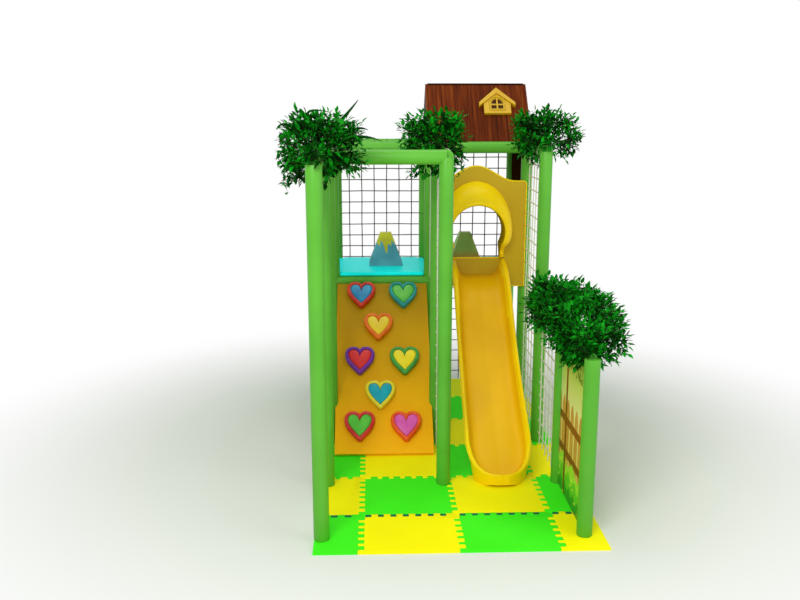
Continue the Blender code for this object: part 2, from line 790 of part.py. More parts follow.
def make_ornament(look):
    """A small house with an arched window, moulded in one piece, on the roof's front board."""
    run = POST_PITCH / 2 + EAVE_PAST_RAIL
    slope = math.atan2(ROOF_RISE, run)
    up = Vector((0, math.cos(slope), math.sin(slope)))
    out = Vector((0, -math.sin(slope), math.cos(slope)))
    ridge = Vector((RIGHT_BAY + ORNAMENT_SHIFT, row_y(4) + POST_PITCH / 2, RAIL_TOP + CLEARANCE + ROOF_RISE))
    apex = ridge - up * ORNAMENT_DROP

    def place(u, v, w):
        return apex + Vector((u, 0, 0)) + up * (v - ORNAMENT_HEIGHT) + out * (w + CLEARANCE)

    half = ORNAMENT_WIDTH / 2
    walls = [(-half, 0), (half, 0), (half, ORNAMENT_WALL), (0, ORNAMENT_HEIGHT - 0.01), (-half, ORNAMENT_WALL)]
    house = add_object("roof_ornament", prism(walls, 0, ORNAMENT_DEPTH, place), look)
    pitch = (ORNAMENT_HEIGHT - ORNAMENT_WALL) / half
    reach = half + ORNAMENT_EAVE
    thick = ORNAMENT_CHEVRON * math.hypot(1, pitch)
    top = ORNAMENT_HEIGHT
    chevron = [
        (0, top),
        (-reach, top - pitch * reach),
        (-reach, top - pitch * reach - 0.6 * thick),
        (0, top - thick),
        (reach, top - pitch * reach - 0.6 * thick),
        (reach, top - pitch * reach),
    ]
    carve(house, add_object("eaves", prism(chevron, 0, ORNAMENT_CHEVRON_DEPTH, place)), "UNION")
    bar = WINDOW_BAR / 2
    wide = WINDOW_WIDTH / 2
    middle = WINDOW_SILL + WINDOW_HEIGHT * 0.42
    spring = WINDOW_SILL + WINDOW_HEIGHT * 0.62
    cut_from = ORNAMENT_DEPTH - WINDOW_DEPTH
    cut_to = ORNAMENT_DEPTH + WINDOW_DEPTH
    for side in (-1, 1):
        lower = [(side * bar, WINDOW_SILL), (side * wide, WINDOW_SILL)]
        lower += [(side * wide, middle - bar), (side * bar, middle - bar)]
        upper = [(side * bar, middle + bar), (side * wide, middle + bar), (side * wide, spring)]
        for step in range(1, 4):
            turn = math.radians(24 * step)
            rise = (WINDOW_HEIGHT * 0.38) * math.sin(turn)
            upper.append((side * max(wide * math.cos(turn), bar), spring + rise))
        upper.append((side * bar, spring + WINDOW_HEIGHT * 0.38))
        for pane in (lower, upper):
            carve(house, add_object("pane", prism(pane, cut_from, cut_to, place)))


def make_wall_panel(look):
    """Upright planks between posts c4 and c5, from the deck to the top rail."""
    low = row_y(4) + SLEEVE_CUT
    high = row_y(5) - SLEEVE_CUT
    bottom = PAD_BOTTOM
    top = TOP_RAIL_HEIGHT - SLEEVE_CUT
    count = int((high - low) / PLANK_WIDTH)
    width = (high - low) / count
    half = PANEL_BOARD / 2
    depth = PLANK_GROOVE / 2
    outline = [(-half, low), (half, low)]
    for edge in range(1, count):
        y = low + width * edge
        outline += [(half, y - depth), (half - PLANK_GROOVE, y), (half, y + depth)]
    outline += [(half, high), (-half, high)]
    for edge in reversed(range(1, count)):
        y = low + width * edge
        outline += [(-half, y + depth), (PLANK_GROOVE - half, y), (-half, y - depth)]
    shifted = [(POST_PITCH + x, y) for x, y in outline]
    add_object("wood_wall_panel", prism(shifted, bottom, top, level), look)


def make_fence(look):
    """The printed board between posts c1 and c2, under the low rail."""
    low = row_y(1) + SLEEVE_CUT
    high = row_y(2) - SLEEVE_CUT
    top = LOW_RAIL_HEIGHT - SLEEVE_CUT
    outline = rectangle(low, FENCE_BOTTOM, high, top)
    half = PANEL_BOARD / 2
    add_object("fence_panel", prism(outline, POST_PITCH - half, POST_PITCH + half, sideways), look)


def add_lump(form, centre, half_sizes, phase):
    """A leafy mass: a ball squared up a little, with soft bumps that follow a formula."""
    made = bmesh.ops.create_icosphere(form, subdivisions=2, radius=1.0)
    for point in made["verts"]:
        x, y, z = point.co
        bump = math.sin(4.1 * x + phase) * math.sin(3.7 * y + 2 * phase) * math.cos(4.3 * z - phase)
        swell = 1 - 0.10 * (1 - bump)
        squared = [math.copysign(abs(part) ** 0.7, part) for part in (x, y, z)]
        reach = [part * half * swell for part, half in zip(squared, half_sizes)]
        point.co = Vector(reach) + centre


def make_shrub(name, centre, half_sizes, phase, rail_ends, posts, look):
    """One shrub straddling a rail, and cut round the posts below it."""
    form = bmesh.new()
    add_lump(form, centre, half_sizes, phase)
    shrub = add_object(name, form, look)
    carve(shrub, cylinder("rail", *rail_ends, SLEEVE_CUT, SLEEVE_SIDES))
    low = rail_ends[0].z - SLEEVE_RADIUS
    wide = 4 * SHRUB_HALF_WIDTH
    floor = rectangle(centre.x - wide, centre.y - wide, centre.x + wide, centre.y + wide)
    carve(shrub, add_object("underside", prism(floor, low - wide, low + CLEARANCE, level)))
    for post in posts:
        ends = (spot(post, MAT_TOP), spot(post, rail_ends[0].z))
        carve(shrub, cylinder("post", *ends, SLEEVE_CUT, SLEEVE_SIDES))
    smooth(shrub, 60)


def make_shrubs(look):
    half = (SHRUB_HALF_WIDTH, SHRUB_HALF_DEPTH, SHRUB_HALF_HEIGHT)
    high = TOP_RAIL_HEIGHT + 0.55 * SHRUB_HALF_HEIGHT
    left = Vector((-POST_PITCH + 0.020, (row_y(1) + row_y(2)) / 2, high))
    rail = sleeve_ends("a1", "a5", TOP_RAIL_HEIGHT)
    make_shrub("shrub_left", left, half, 0.4, rail, (), look)
    slim = (0.85 * SHRUB_HALF_WIDTH, 0.8 * SHRUB_HALF_DEPTH, SHRUB_HALF_HEIGHT)
    middle = Vector((-0.065, row_y(2) + 1.15 * SHRUB_HALF_DEPTH, high))
    rail = sleeve_ends("b2", "b5", TOP_RAIL_HEIGHT)
    make_shrub("shrub_middle", middle, slim, 1.3, rail, (), look)
    right = Vector((POST_PITCH + 0.070, row_y(3) + 1.3 * SHRUB_HALF_DEPTH, high))
    rail = sleeve_ends("c3", "c5", TOP_RAIL_HEIGHT)
    make_shrub("shrub_right", right, half, 2.2, rail, (), look)
    centre_y = (row_y(1) + row_y(3)) / 2 - 0.02
    hedge = Vector((POST_PITCH + 0.060, centre_y, LOW_RAIL_HEIGHT + 0.5 * HEDGE_HALF_HEIGHT))
    long = (HEDGE_HALF_WIDTH, 0.93 * POST_PITCH, HEDGE_HALF_HEIGHT)
    rail = sleeve_ends("c1", "c3", LOW_RAIL_HEIGHT)
    make_shrub("hedge_right", hedge, long, 3.1, rail, SHORT_POSTS, look)


def build():
    for old in list(bpy.data.objects):
        bpy.data.objects.remove(old)
    green_foam = material("green_foam", (0.13, 0.49, 0.05), 0.5)
    make_pipes("pipe_frame", 0.0, material("galvanised_steel", (0.55, 0.56, 0.57), 0.4, 1.0))
    make_sleeves(green_foam)
    make_mats(material("mat_green", (0.09, 0.98, 0.03), 0.7))
    pad_look = material("pad_cyan", (0.04, 0.83, 0.80), 0.45)
    make_pad("deck_pad_left", -POST_PITCH, 0, CLEARANCE, pad_look)
    make_pad("deck_pad_right", 0, POST_PITCH, PANEL_BOARD / 2 + CLEARANCE, pad_look)
    make_peak("foam_peak_left", LEFT_BAY + LEFT_PEAK_SHIFT, material("peak_yellow", (0.6, 0.5, 0.03), 0.5))
    make_peak("foam_peak_right", RIGHT_BAY + RIGHT_PEAK_SHIFT, material("peak_green", (0.15, 0.3, 0.1), 0.5))
    make_ramp(material("ramp_orange", (0.69, 0.36, 0.01), 0.5))
    for name, shift, climb, colour in HEARTS:
        make_heart(name, shift, climb, material(name, colour, 0.35))
    yellow = material("moulded_yellow", (0.82, 0.48, 0.02), 0.35)
    make_slide(yellow)
    make_hood_panel(yellow)
    rope = material("net_rope", (0.12, 0.12, 0.11), 0.85)
    make_outside_net("net_back", "a5", "c5", BACK_NET_COLUMNS, BACK_NET_ROW, rope)
    make_outside_net("net_left", "a2", "a5", LEFT_NET_COLUMNS, SIDE_NET_ROW, rope)
    make_bay_net("net_middle_front", "b2", "b3", NET_BOTTOM, TOP_RAIL_HEIGHT, rope)
    make_bay_net("net_middle_back", "b3", "b4", DECK_RAIL_HEIGHT, TOP_RAIL_HEIGHT, rope)
    make_bay_net("net_right_low", "c2", "c3", NET_BOTTOM, LOW_RAIL_HEIGHT, rope)
    make_bay_net("net_right_high", "c3", "c4", NET_BOTTOM, TOP_RAIL_HEIGHT, rope)
    wood = material("brown_wood", (0.20, 0.05, 0.02), 0.6)
    make_roof(wood, material("gable_wood", (0.05, 0.015, 0.008), 0.6))
    make_ornament(yellow)
    make_wall_panel(wood)
    make_fence(material("fence_board", (0.75, 0.62, 0.22), 0.55))
    make_shrubs(material("leaf_green", (0.01, 0.11, 0.015), 0.6))


build()
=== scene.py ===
"""Dresses the indoor playground: fine surfaces, materials, camera and light. Metres, +Z up."""

import random
from functools import partialmethod
from math import atan2, copysign, cos, dist, pi, radians, sin

import bmesh
import bpy
from mathutils import Matrix, Vector


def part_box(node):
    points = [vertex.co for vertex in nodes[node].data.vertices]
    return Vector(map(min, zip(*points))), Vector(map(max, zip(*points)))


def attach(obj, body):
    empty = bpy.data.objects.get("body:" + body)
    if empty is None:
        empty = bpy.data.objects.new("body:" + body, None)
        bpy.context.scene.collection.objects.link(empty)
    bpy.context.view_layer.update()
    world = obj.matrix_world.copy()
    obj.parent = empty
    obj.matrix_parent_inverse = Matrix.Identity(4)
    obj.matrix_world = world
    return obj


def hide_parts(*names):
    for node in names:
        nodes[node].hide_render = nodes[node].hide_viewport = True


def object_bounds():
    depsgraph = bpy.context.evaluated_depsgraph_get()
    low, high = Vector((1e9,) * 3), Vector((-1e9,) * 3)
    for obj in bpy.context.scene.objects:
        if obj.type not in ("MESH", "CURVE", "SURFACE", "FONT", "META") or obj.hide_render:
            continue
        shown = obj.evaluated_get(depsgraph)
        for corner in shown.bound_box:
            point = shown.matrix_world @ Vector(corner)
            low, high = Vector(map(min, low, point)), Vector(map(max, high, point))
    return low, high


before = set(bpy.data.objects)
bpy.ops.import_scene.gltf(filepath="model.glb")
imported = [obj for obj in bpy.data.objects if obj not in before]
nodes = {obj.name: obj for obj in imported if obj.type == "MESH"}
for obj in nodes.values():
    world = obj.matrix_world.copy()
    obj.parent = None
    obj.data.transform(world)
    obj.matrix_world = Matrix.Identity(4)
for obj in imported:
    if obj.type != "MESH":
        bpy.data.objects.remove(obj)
cad_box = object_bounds()

# Measures that several parts share, the same as in the CAD

PITCH = 0.8  # between the posts
SLEEVE = 0.0477  # radius of a foam sleeve
TOP = 2.250  # middle of the top rails
LOW = 1.127  # middle of the low rail on the right
DECK = 1.142  # middle of the deck rails
MAT = 0.012  # thickness of the floor mats
GAP = 0.0003  # clearance between pieces that rest on each other
PAD_TOP = DECK + SLEEVE + GAP + 0.028
COLUMN = {"a": -PITCH, "b": 0.0, "c": PITCH}
X, Y, Z = Vector((1, 0, 0)), Vector((0, 1, 0)), Vector((0, 0, 1))


def assign(thing, **settings):
    """Sets properties of anything in Blender, and returns it."""
    for key, value in settings.items():
        setattr(thing, key, value)
    return thing


def spot(post, z):
    """The middle of a post, such as b4, at a height."""
    return Vector((COLUMN[post[0]], (int(post[1]) - 3) * PITCH, z))


# Materials


def srgb(code):
    """A linear colour from its hexadecimal sRGB code."""
    parts = [int(code[i : i + 2], 16) / 255 for i in (0, 2, 4)]
    return tuple(p / 12.92 if p <= 0.04045 else ((p + 0.055) / 1.055) ** 2.4 for p in parts) + (1.0,)


class Nodes:
    """The node tree of a material or world, with short ways to add nodes."""

    def __init__(self, made):
        made.use_nodes = True
        self.made = made
        self.tree = made.node_tree

    def feed(self, socket, value):
        """Links an output to a socket, or sets the socket to a number or a hexadecimal colour."""
        if isinstance(value, bpy.types.NodeSocket):
            self.tree.links.new(value, socket)
        else:
            socket.default_value = srgb(value) if isinstance(value, str) else value

    def give(self, node, **values):
        """Feeds a node's inputs by name, with _ for a space."""
        for key, value in values.items():
            self.feed(node.inputs[key.replace("_", " ")], value)
        return node

    def node(self, kind, **values):
        return self.give(self.tree.nodes.new("ShaderNode" + kind), **values)

    def math(self, operation, *values):
        made = assign(self.node("Math"), operation=operation)
        for socket, value in zip(made.inputs, values):
            self.feed(socket, value)
        return made.outputs[0]

    times = partialmethod(math, "MULTIPLY")
    plus = partialmethod(math, "ADD")
    minus = partialmethod(math, "SUBTRACT")
    below = partialmethod(math, "LESS_THAN")
    above = partialmethod(math, "GREATER_THAN")
    fold = partialmethod(math, "PINGPONG")  # to and fro between 0 and a value
    largest = partialmethod(math, "MAXIMUM")
    sine = partialmethod(math, "SINE")
    plain = partialmethod(math, "ABSOLUTE")


class Look(Nodes):
    """A Principled material; place is the object's own coordinates."""

    def __init__(self, name, roughness=0.5, coat=0.0, specular=0.22):
        super().__init__(bpy.data.materials.new(name))
        self.shader = self.tree.nodes["Principled BSDF"]
        self.give(self.shader, Roughness=roughness, Specular_IOR_Level=specular)
        self.give(self.shader, Coat_Weight=coat, Coat_Roughness=0.25)
        self.place = self.node("TexCoord").outputs["Object"]

    def scaled(self, scale):
        return self.node("Mapping", Vector=self.place, Scale=scale).outputs["Vector"]

    def noise(self, scale, detail=2.0, place=None):
        return self.node("TexNoise", Vector=place or self.place, Scale=scale, Detail=detail).outputs["Fac"]

    def cells(self, scale, place=None):
        return self.node("TexVoronoi", Vector=place or self.place, Scale=scale).outputs["Distance"]

    def axis(self, letter, place=None):
        return self.node("SeparateXYZ", Vector=place or self.place).outputs[letter]

    def ramp(self, factor, tones, places=(0.3, 0.7)):
        """Colours along a factor, each at its place."""
        made = self.node("ValToRGB", Fac=factor)
        elements = made.color_ramp.elements
        for place in places[2:]:
            elements.new(place)
        for element, place, code in zip(elements, places, tones):
            assign(element, position=place, color=srgb(code))
        return made.outputs["Color"]

    def mix(self, factor, first, second, blend="MIX"):
        made = assign(self.node("Mix"), data_type="RGBA", blend_type=blend)
        for index, value in ((0, factor), (6, first), (7, second)):
            self.feed(made.inputs[index], value)
        return made.outputs[2]

    def colour(self, source):
        self.give(self.shader, Base_Color=source)
        return self

    def tint(self, scale, detail, tones, places=(0.3, 0.7)):
        """A base colour that drifts between the tones."""
        return self.colour(self.ramp(self.noise(scale, detail), tones, places))

    def rough(self, factor, low, high):
        spread = self.node("MapRange", Value=factor, To_Min=low, To_Max=high)
        self.give(self.shader, Roughness=spread.outputs[0])
        return self

    def bump(self, height, strength, distance):
        """Adds relief to what the surface has."""
        made = self.node("Bump", Height=height, Strength=strength, Distance=distance)
        held = self.shader.inputs["Normal"]
        if held.links:
            self.give(made, Normal=held.links[0].from_socket)
        self.feed(held, made.outputs[0])
        return self


def vinyl(name, dark, light, roughness=0.45, specular=0.22):
    """Coated cloth: soft colour drift, a fine leather grain and faint creases."""
    look = Look(name, roughness, 0.03, specular)
    look.tint(2.6, 3, (dark, light))
    look.rough(look.noise(14), roughness - 0.07, roughness + 0.09)
    look.bump(look.cells(620), 0.16, 0.0006)
    return look.bump(look.noise(38), 0.08, 0.0015)


def moulded(name, dark, light, roughness=0.38, specular=0.22, coat=0.06):
    """Rotation-moulded plastic: slight colour drift, orange peel and soft scuffs."""
    look = Look(name, roughness, coat, specular)
    look.tint(1.9, 3, (dark, light), (0.3, 0.72))
    look.rough(look.noise(9, 4), roughness - 0.08, roughness + 0.14)
    look.bump(look.noise(210), 0.10, 0.0006)
    return look.bump(look.noise(12), 0.06, 0.003)


def plain_gloss(name, dark, light):
    """Cast resin of the climbing holds: mild drift under a clear coat."""
    look = Look(name, 0.3, 0.25)
    look.tint(11, 2, (dark, light), (0.25, 0.75))
    look.rough(look.noise(30, 3), 0.24, 0.40)
    return look.bump(look.noise(260), 0.10, 0.0004)


def streaked_wood(name, tones, scale, board=None, specular=0.03):
    """Wood with grain along the short scale; boards side by side are set off by dark joints."""
    look = Look(name, 0.6, specular=specular)
    place = look.scaled(scale)
    fine = look.noise(4.2, 4, place)
    both = look.plus(look.times(look.noise(1.0, 6, place), 0.72), look.times(fine, 0.28))
    base = look.ramp(both, tones, (0.33, 0.50, 0.66))
    if board:
        joint = look.below(look.fold(look.axis("X"), board / 2), 0.0016)
        base = look.mix(joint, base, "160603")
        look.bump(look.minus(1.0, joint), 0.6, 0.002)
    look.colour(base).rough(fine, 0.38, 0.62)
    return look.bump(both, 0.22, 0.0016)


def mat_foam(name, dark, light):
    """Closed-cell foam with a fine crossed relief."""
    look = Look(name, 0.72, specular=0.1)
    look.tint(1.4, 2, (dark, light))
    x, y = look.axis("X"), look.axis("Y")
    rising = look.sine(look.times(look.plus(x, y), 900))
    falling = look.sine(look.times(look.minus(x, y), 900))
    look.bump(look.times(rising, falling), 0.16, 0.0006)
    return look.bump(look.noise(420), 0.12, 0.0005)


def rope_look(name, dark, light):
    """Laid rope: strands that wind along the length, from the tube's own coordinates."""
    look = Look(name, 0.82, specular=0.2)
    uv = look.node("TexCoord").outputs["UV"]
    lay = look.fold(look.plus(look.times(look.axis("X", uv), 3.0), look.axis("Y", uv)), 0.5)
    look.colour(look.ramp(look.times(lay, 2.0), (dark, light), (0.0, 0.6)))
    return look.bump(lay, 0.8, 0.0016)


def leaf_look(name, tones, places=(0.3, 0.7)):
    look = Look(name, 0.5, specular=0.04)
    return look.tint(42, 2, tones, places).bump(look.noise(240), 0.25, 0.0006)


def peak_look(name, cap, foot, edge, spike, centre_x, teeth=2.2, sharp=900.0):
    """Printed cover: a ragged cap of one colour over another, with a tongue down its middle."""
    look = vinyl(name, *cap, 0.5)
    upper = look.ramp(look.noise(7, 3), cap)
    lower = look.ramp(look.noise(6, 3), foot)
    ragged = look.times(look.fold(look.plus(look.axis("X"), look.axis("Y")), 0.024), teeth)
    middle = look.plain(look.minus(look.axis("X"), centre_x))
    tongue = look.largest(look.minus(spike, look.times(middle, 3.6)), 0.0)
    limit = look.minus(look.plus(edge, ragged), tongue)
    share = look.times(look.minus(look.axis("Z"), limit), sharp)
    return look.colour(look.mix(share, lower, upper))


def printed_board():
    """A made-up meadow print: pale sky, banks of grass and a row of round-topped stakes."""
    look = Look("fence_print", 0.42, 0.2)
    y, z = look.axis("Y"), look.axis("Z")
    flat = look.scaled((0.0, 1, 1))
    sky_tones = ("E4D070", "E6E6A0", "C0DC6C", "5CA824")
    sky = look.ramp(look.math("DIVIDE", z, 1.08), sky_tones, (0.3, 0.60, 0.80, 0.96))
    beat = look.fold(look.plus(y, 0.03), 0.058)
    tip = look.minus(0.70, look.times(look.math("POWER", beat, 2.0), 38.0))
    stake = look.times(look.below(beat, 0.043), look.below(z, tip))
    wood = look.ramp(look.noise(2.0, 4, look.scaled((1, 42, 4))), ("B07024", "D8A450"))
    base = look.mix(stake, sky, wood)
    for low, high in ((0.30, 0.355), (0.52, 0.575)):
        base = look.mix(look.times(look.above(z, low), look.below(z, high)), base, "7A3410")
    tuft = look.times(look.fold(y, 0.011), 1.8)
    grass = ((0.27, 0.030, 24.0, "9BE03A"), (0.19, 0.024, 37.0, "5CC32A"), (0.10, 0.020, 52.0, "2E8E22"))
    for level, size, pace, code in grass:
        wave = look.times(look.sine(look.times(y, pace)), size)
        base = look.mix(look.below(z, look.plus(look.plus(wave, tuft), level)), base, code)
    crown = look.times(look.below(look.cells(26, flat), 0.42), look.above(z, 0.90))
    base = look.mix(crown, base, "2F7A18")
    trunk = look.plain(look.plus(y, 1.02))
    base = look.mix(look.below(trunk, 0.024), base, "6A2A0C")
    bloom = look.times(look.below(look.cells(15, flat), 0.16), look.below(z, 0.25))
    look.colour(look.mix(bloom, base, "FFE860"))
    look.rough(look.noise(18), 0.35, 0.52)
    return look.bump(look.noise(160), 0.05, 0.0006)


green = vinyl("green_vinyl", "52A32A", "5EB033", 0.42)
dark_green = vinyl("dark_green_plug", "2C6E16", "3A8420", 0.5)
cyan = vinyl("cyan_vinyl", "00F4F0", "04FFFC", specular=0.1)
# Painted light: a faint cyan glow that brightens the deck pads where they lie in shade; they give no light
cyan.give(cyan.shader, Emission_Color=(0.0, 1.0, 0.98, 1.0), Emission_Strength=0.09)
ramp_look = vinyl("ramp_vinyl", "F4B000", "FFBC00", specular=0.1)
# Painted shade: the ramp's colour darkens towards its top, where the deck shades it, with a greenish tint of
# light from the pads
climb = ramp_look.times(ramp_look.axis("Z"), 0.8)
shade = ramp_look.ramp(climb, ("FFFFFF", "AEBC90"), (0.05, 0.88))
held = ramp_look.shader.inputs["Base Color"].links[0].from_socket
ramp_look.colour(ramp_look.mix(1.0, held, shade, "MULTIPLY"))
yellow = moulded("moulded_yellow", "E8B002", "F4C004", 0.36, 0.14)
hood_look = moulded("moulded_lemon", "F6CC02", "FFE006", 0.38, 0.12)
# Painted shade: a darker, duller copy of the moulded yellow for the inside of the hood
hood_inside_shade = moulded("moulded_shade", "B48E02", "C09A06", 0.6, 0.0, 0.0)
panel_look = moulded("moulded_ochre", "BC9C0C", "C8A812", 0.42)
ornament_look = moulded("ornament_yellow", "BC9209", "D0A810", 0.35)
mat_green = mat_foam("mat_green", "3CEE18", "46F822")
mat_yellow = mat_foam("mat_yellow", "FAF000", "FFFA02")
mat_teal = mat_foam("mat_teal", "06683C", "0A7E4C")
# Lit and shaded copies of one rope: the dark one is painted shade, the pale one painted light
rope = rope_look("net_rope", "2A2C26", "5A5D52")
lit_rope = rope_look("tie_rope", "A9AC92", "E2E5CE")
roof_wood = streaked_wood("roof_wood", ("3C1605", "602608", "7C3C10"), (42, 1.6, 1.6), 0.112)
# Painted shade: the wall panel's wood is made much darker, as it stands in shade
wall_wood = streaked_wood("wall_wood", ("1A0C02", "2C1404", "3A1C06"), (3, 30, 2.4), specular=0.0)
# Painted shade: the gables' wood is made darker, as their sides are in shade
gable_wood = streaked_wood("gable_wood", ("1C0A05", "34140A", "4A2010"), (3, 26, 2.4))
edge_wood = streaked_wood("edge_wood", ("120604", "251009", "381A0E"), (2, 20, 20))
steel = Look("galvanised_steel", 0.38)
steel.give(steel.shader, Metallic=1.0)
steel.colour(steel.ramp(steel.cells(60), ("8C9094", "B8BCC0"), (0.1, 0.9)))
steel.bump(steel.noise(90), 0.1, 0.0006)
pane_look = Look("window_pane", 0.4, specular=0.05)
pane_look.tint(20, 2, ("2A1608", "4A2A10"))
bark = Look("twig_bark", 0.8, specular=0.2)
bark.tint(60, 3, ("141006", "30240C")).bump(bark.noise(140), 0.4, 0.001)
leaf = leaf_look("leaf_green", ("023804", "056A0A", "0C8C12"), (0.32, 0.50, 0.66))
# A lighter leaf green, which some of the outer leaves take at random
lighter_leaf = leaf_look("leaf_young", ("0C7C10", "18A01C"))
# Painted shade: a darker leaf green for leaves deep inside the shrubs
shaded_leaf = leaf_look("leaf_deep", ("011C02", "034806"))
blade_look = leaf_look("grass_blade", ("042406", "0A4A0C"))


# Mesh helpers


def add_object(name, data):
    made = bpy.data.objects.new(name, data)
    bpy.context.scene.collection.objects.link(made)
    return made


def new_mesh(name, looks=()):
    mesh = bpy.data.meshes.new(name)
    for look in looks:
        mesh.materials.append(look.made)
    return mesh


def show(name, mesh, replaces, smooth):
    """Puts a mesh into the scene as a piece of the frame, smooth up to an angle in degrees."""
    if smooth:
        mesh.shade_smooth()
        mesh.set_sharp_from_angle(angle=radians(smooth))
    made = add_object(name, mesh)
    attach(made, "root")
    if replaces:
        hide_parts(replaces)
    return made


def add_piece(name, points, faces, looks, picks=None, uvs=None, replaces=None, smooth=30):
    """A piece from points and faces; picks says which of its looks each face has."""
    mesh = new_mesh(name, looks)
    mesh.from_pydata(points, [], faces)
    if picks:
        mesh.polygons.foreach_set("material_index", picks)
    if uvs:
        layer = mesh.uv_layers.new(name="UVMap")
        layer.data.foreach_set("uv", [value for face in uvs for pair in face for value in pair])
    mesh.validate()
    return show(name, mesh, replaces, smooth)


def from_bmesh(name, form, looks, replaces=None, smooth=30):
    bmesh.ops.recalc_face_normals(form, faces=form.faces)
    mesh = new_mesh(name, looks)
    form.to_mesh(mesh)
    form.free()
    return show(name, mesh, replaces, smooth)


def face_outward(made, close=False):
    """Turns a piece's faces outward, after closing its open ends if close is set."""
    form = bmesh.new()
    form.from_mesh(made.data)
    if close:
        ends = [edge for edge in form.edges if edge.is_boundary]
        bmesh.ops.holes_fill(form, edges=ends, sides=0)
    bmesh.ops.recalc_face_normals(form, faces=form.faces)
    form.to_mesh(made.data)
    form.free()


def applied(made):
    """The mesh that a piece's modifiers give, which go away."""
    graph = bpy.context.evaluated_depsgraph_get()
    mesh = bpy.data.meshes.new_from_object(made.evaluated_get(graph))
    made.modifiers.clear()
    made.data = mesh
    return mesh


def around(count, step):
    """A step's angle, of count steps round a circle."""
    return 2 * pi * step / count


def circle(centre, side, other, radius, count):
    """Points round a centre, in the plane of two unit vectors."""
    turns = [around(count, step) for step in range(count)]
    return [centre + (side * cos(turn) + other * sin(turn)) * radius for turn in turns]


def quads(count, rows, wrap=True, flip=False, first=0):
    """Faces between neighbouring rows of as many points; wrap joins a row's end to its start."""
    faces = []
    for low in range(first, first + (rows - 1) * count, count):
        for step in range(count if wrap else count - 1):
            a, b = low + step, low + (step + 1) % count
            faces.append((a, a + count, b + count, b) if flip else (a, b, b + count, a + count))
    return faces


def prism(form, upper, lower):
    """A closed block between two outlines of as many points; returns the upper face."""
    top = [form.verts.new(point) for point in upper]
    foot = [form.verts.new(point) for point in lower]
    face = form.faces.new(top)
    form.faces.new(list(reversed(foot)))
    for step in range(len(top)):
        after = (step + 1) % len(top)
        form.faces.new((top[step], foot[step], foot[after], top[after]))
    return face


def lengths(path):
    """How far along a path each of its points is."""
    travelled = [0.0]
    for start, end in zip(path, path[1:]):
        travelled.append(travelled[-1] + (end - start).length)
    return travelled


def between(path, travelled, index, travel):
    """The point at a distance along a path, on the stretch that ends at index."""
    stretch = max(travelled[index] - travelled[index - 1], 1e-9)
    share = (travel - travelled[index - 1]) / stretch
    return path[index - 1].lerp(path[index], min(max(share, 0.0), 1.0))


def repaint(look, *names):
    """Gives frame pieces that stay as they are a better material."""
    for name in names:
        for slot in nodes[name].material_slots:
            slot.material = look.made


def soften(made, width, segments=3, angle=30, **settings):
    """Rounds a piece's edges that turn by more than an angle in degrees, with a modifier."""
    step = made.modifiers.new("edge", "BEVEL")
    assign(step, width=width, segments=segments, **settings)
    assign(step, limit_method="ANGLE", angle_limit=radians(angle))


class Tubes:
    """Many round tubes in one mesh, with coordinates round and along each."""

    def __init__(self):
        self.points = []
        self.faces = []
        self.uvs = []

    def face(self, corners, uvs=None):
        self.faces.append(tuple(corners))
        self.uvs.append(uvs or ((0.0, 0.0),) * len(self.faces[-1]))

    def add(self, path, radius, sides=7, closed=False, per_metre=90.0):
        count = len(path)
        first = len(self.points)
        side = (path[1] - path[0]).normalized().orthogonal().normalized()
        travelled = lengths(path)
        for index, point in enumerate(path):
            before = path[index - 1] if index or closed else point
            after = path[(index + 1) % count] if index < count - 1 or closed else point
            along = (after - before).normalized()
            side = (side - along * side.dot(along)).normalized()
            self.points += circle(point, side, along.cross(side), radius, sides)
        for index in range(count if closed else count - 1):
            here = first + index * sides
            there = first + ((index + 1) % count) * sides
            low = travelled[index] * per_metre
            high = low + (path[(index + 1) % count] - path[index]).length * per_metre
            for step in range(sides):
                after = (step + 1) % sides
                left, right = step / sides, (step + 1) / sides
                corners = (here + step, here + after, there + after, there + step)
                self.face(corners, ((left, low), (right, low), (right, high), (left, high)))
        if not closed:
            last = first + (count - 1) * sides
            self.face(reversed(range(first, first + sides)))
            self.face(range(last, last + sides))

    def knot(self, centre, scale):
        """A small lump of three rings of six points, as large as a vector says."""
        first = len(self.points)
        for turn in (pi / 4, pi / 2, 3 * pi / 4):
            self.points += [centre + point * scale for point in circle(Z * cos(turn), X, Y, sin(turn), 6)]
        for corners in quads(6, 3, flip=True, first=first):
            self.face(corners, ((0, 0), (0, 0.4), (0.3, 0.4), (0.3, 0)))
        self.face(range(first, first + 6))
        self.face(reversed(range(first + 12, first + 18)))

    def piece(self, name, look, replaces=None):
        return add_piece(name, self.points, self.faces, (look,), None, self.uvs, replaces, 60)


# Padded frame

ROLL = 0.005  # rounding at a sleeve's ends
SEAM = 0.0012  # depth of the welded seam
PLUG = 0.0255  # radius of a tube's plug


def sleeve(name, start, end, sides=48):
    """A foam sleeve with softly rolled ends and a welded seam."""
    along = (end - start).normalized()
    side = Y if abs(along.z) > 0.5 else -Z
    other = along.cross(side)
    length = (end - start).length
    ends = ((0.0, SLEEVE - ROLL), (0.0012, SLEEVE - 0.0018), (ROLL, SLEEVE))
    stations = [*ends, *((length * step / 12, SLEEVE) for step in range(1, 12))]
    stations += [(length - travel, radius) for travel, radius in reversed(ends)]
    points = []
    for travel, radius in stations:
        ring = circle(start + along * travel, side, other, radius, sides)
        ring[0] -= side * SEAM
        points += ring
    faces = quads(sides, len(stations))
    faces += [tuple(reversed(range(sides))), tuple(range(len(points) - sides, len(points)))]
    add_piece(name + "_sleeve", points, faces, (green,), replaces=name, smooth=40)


def knob(name, place):
    """A dark plug in the open end of a tube."""
    plug = Tubes()
    plug.add([place + Vector((0, y, 0.006)) for y in (-0.004, -0.002, 0.050, 0.106)], PLUG, 24)
    plug.piece(name + "_plug", dark_green)


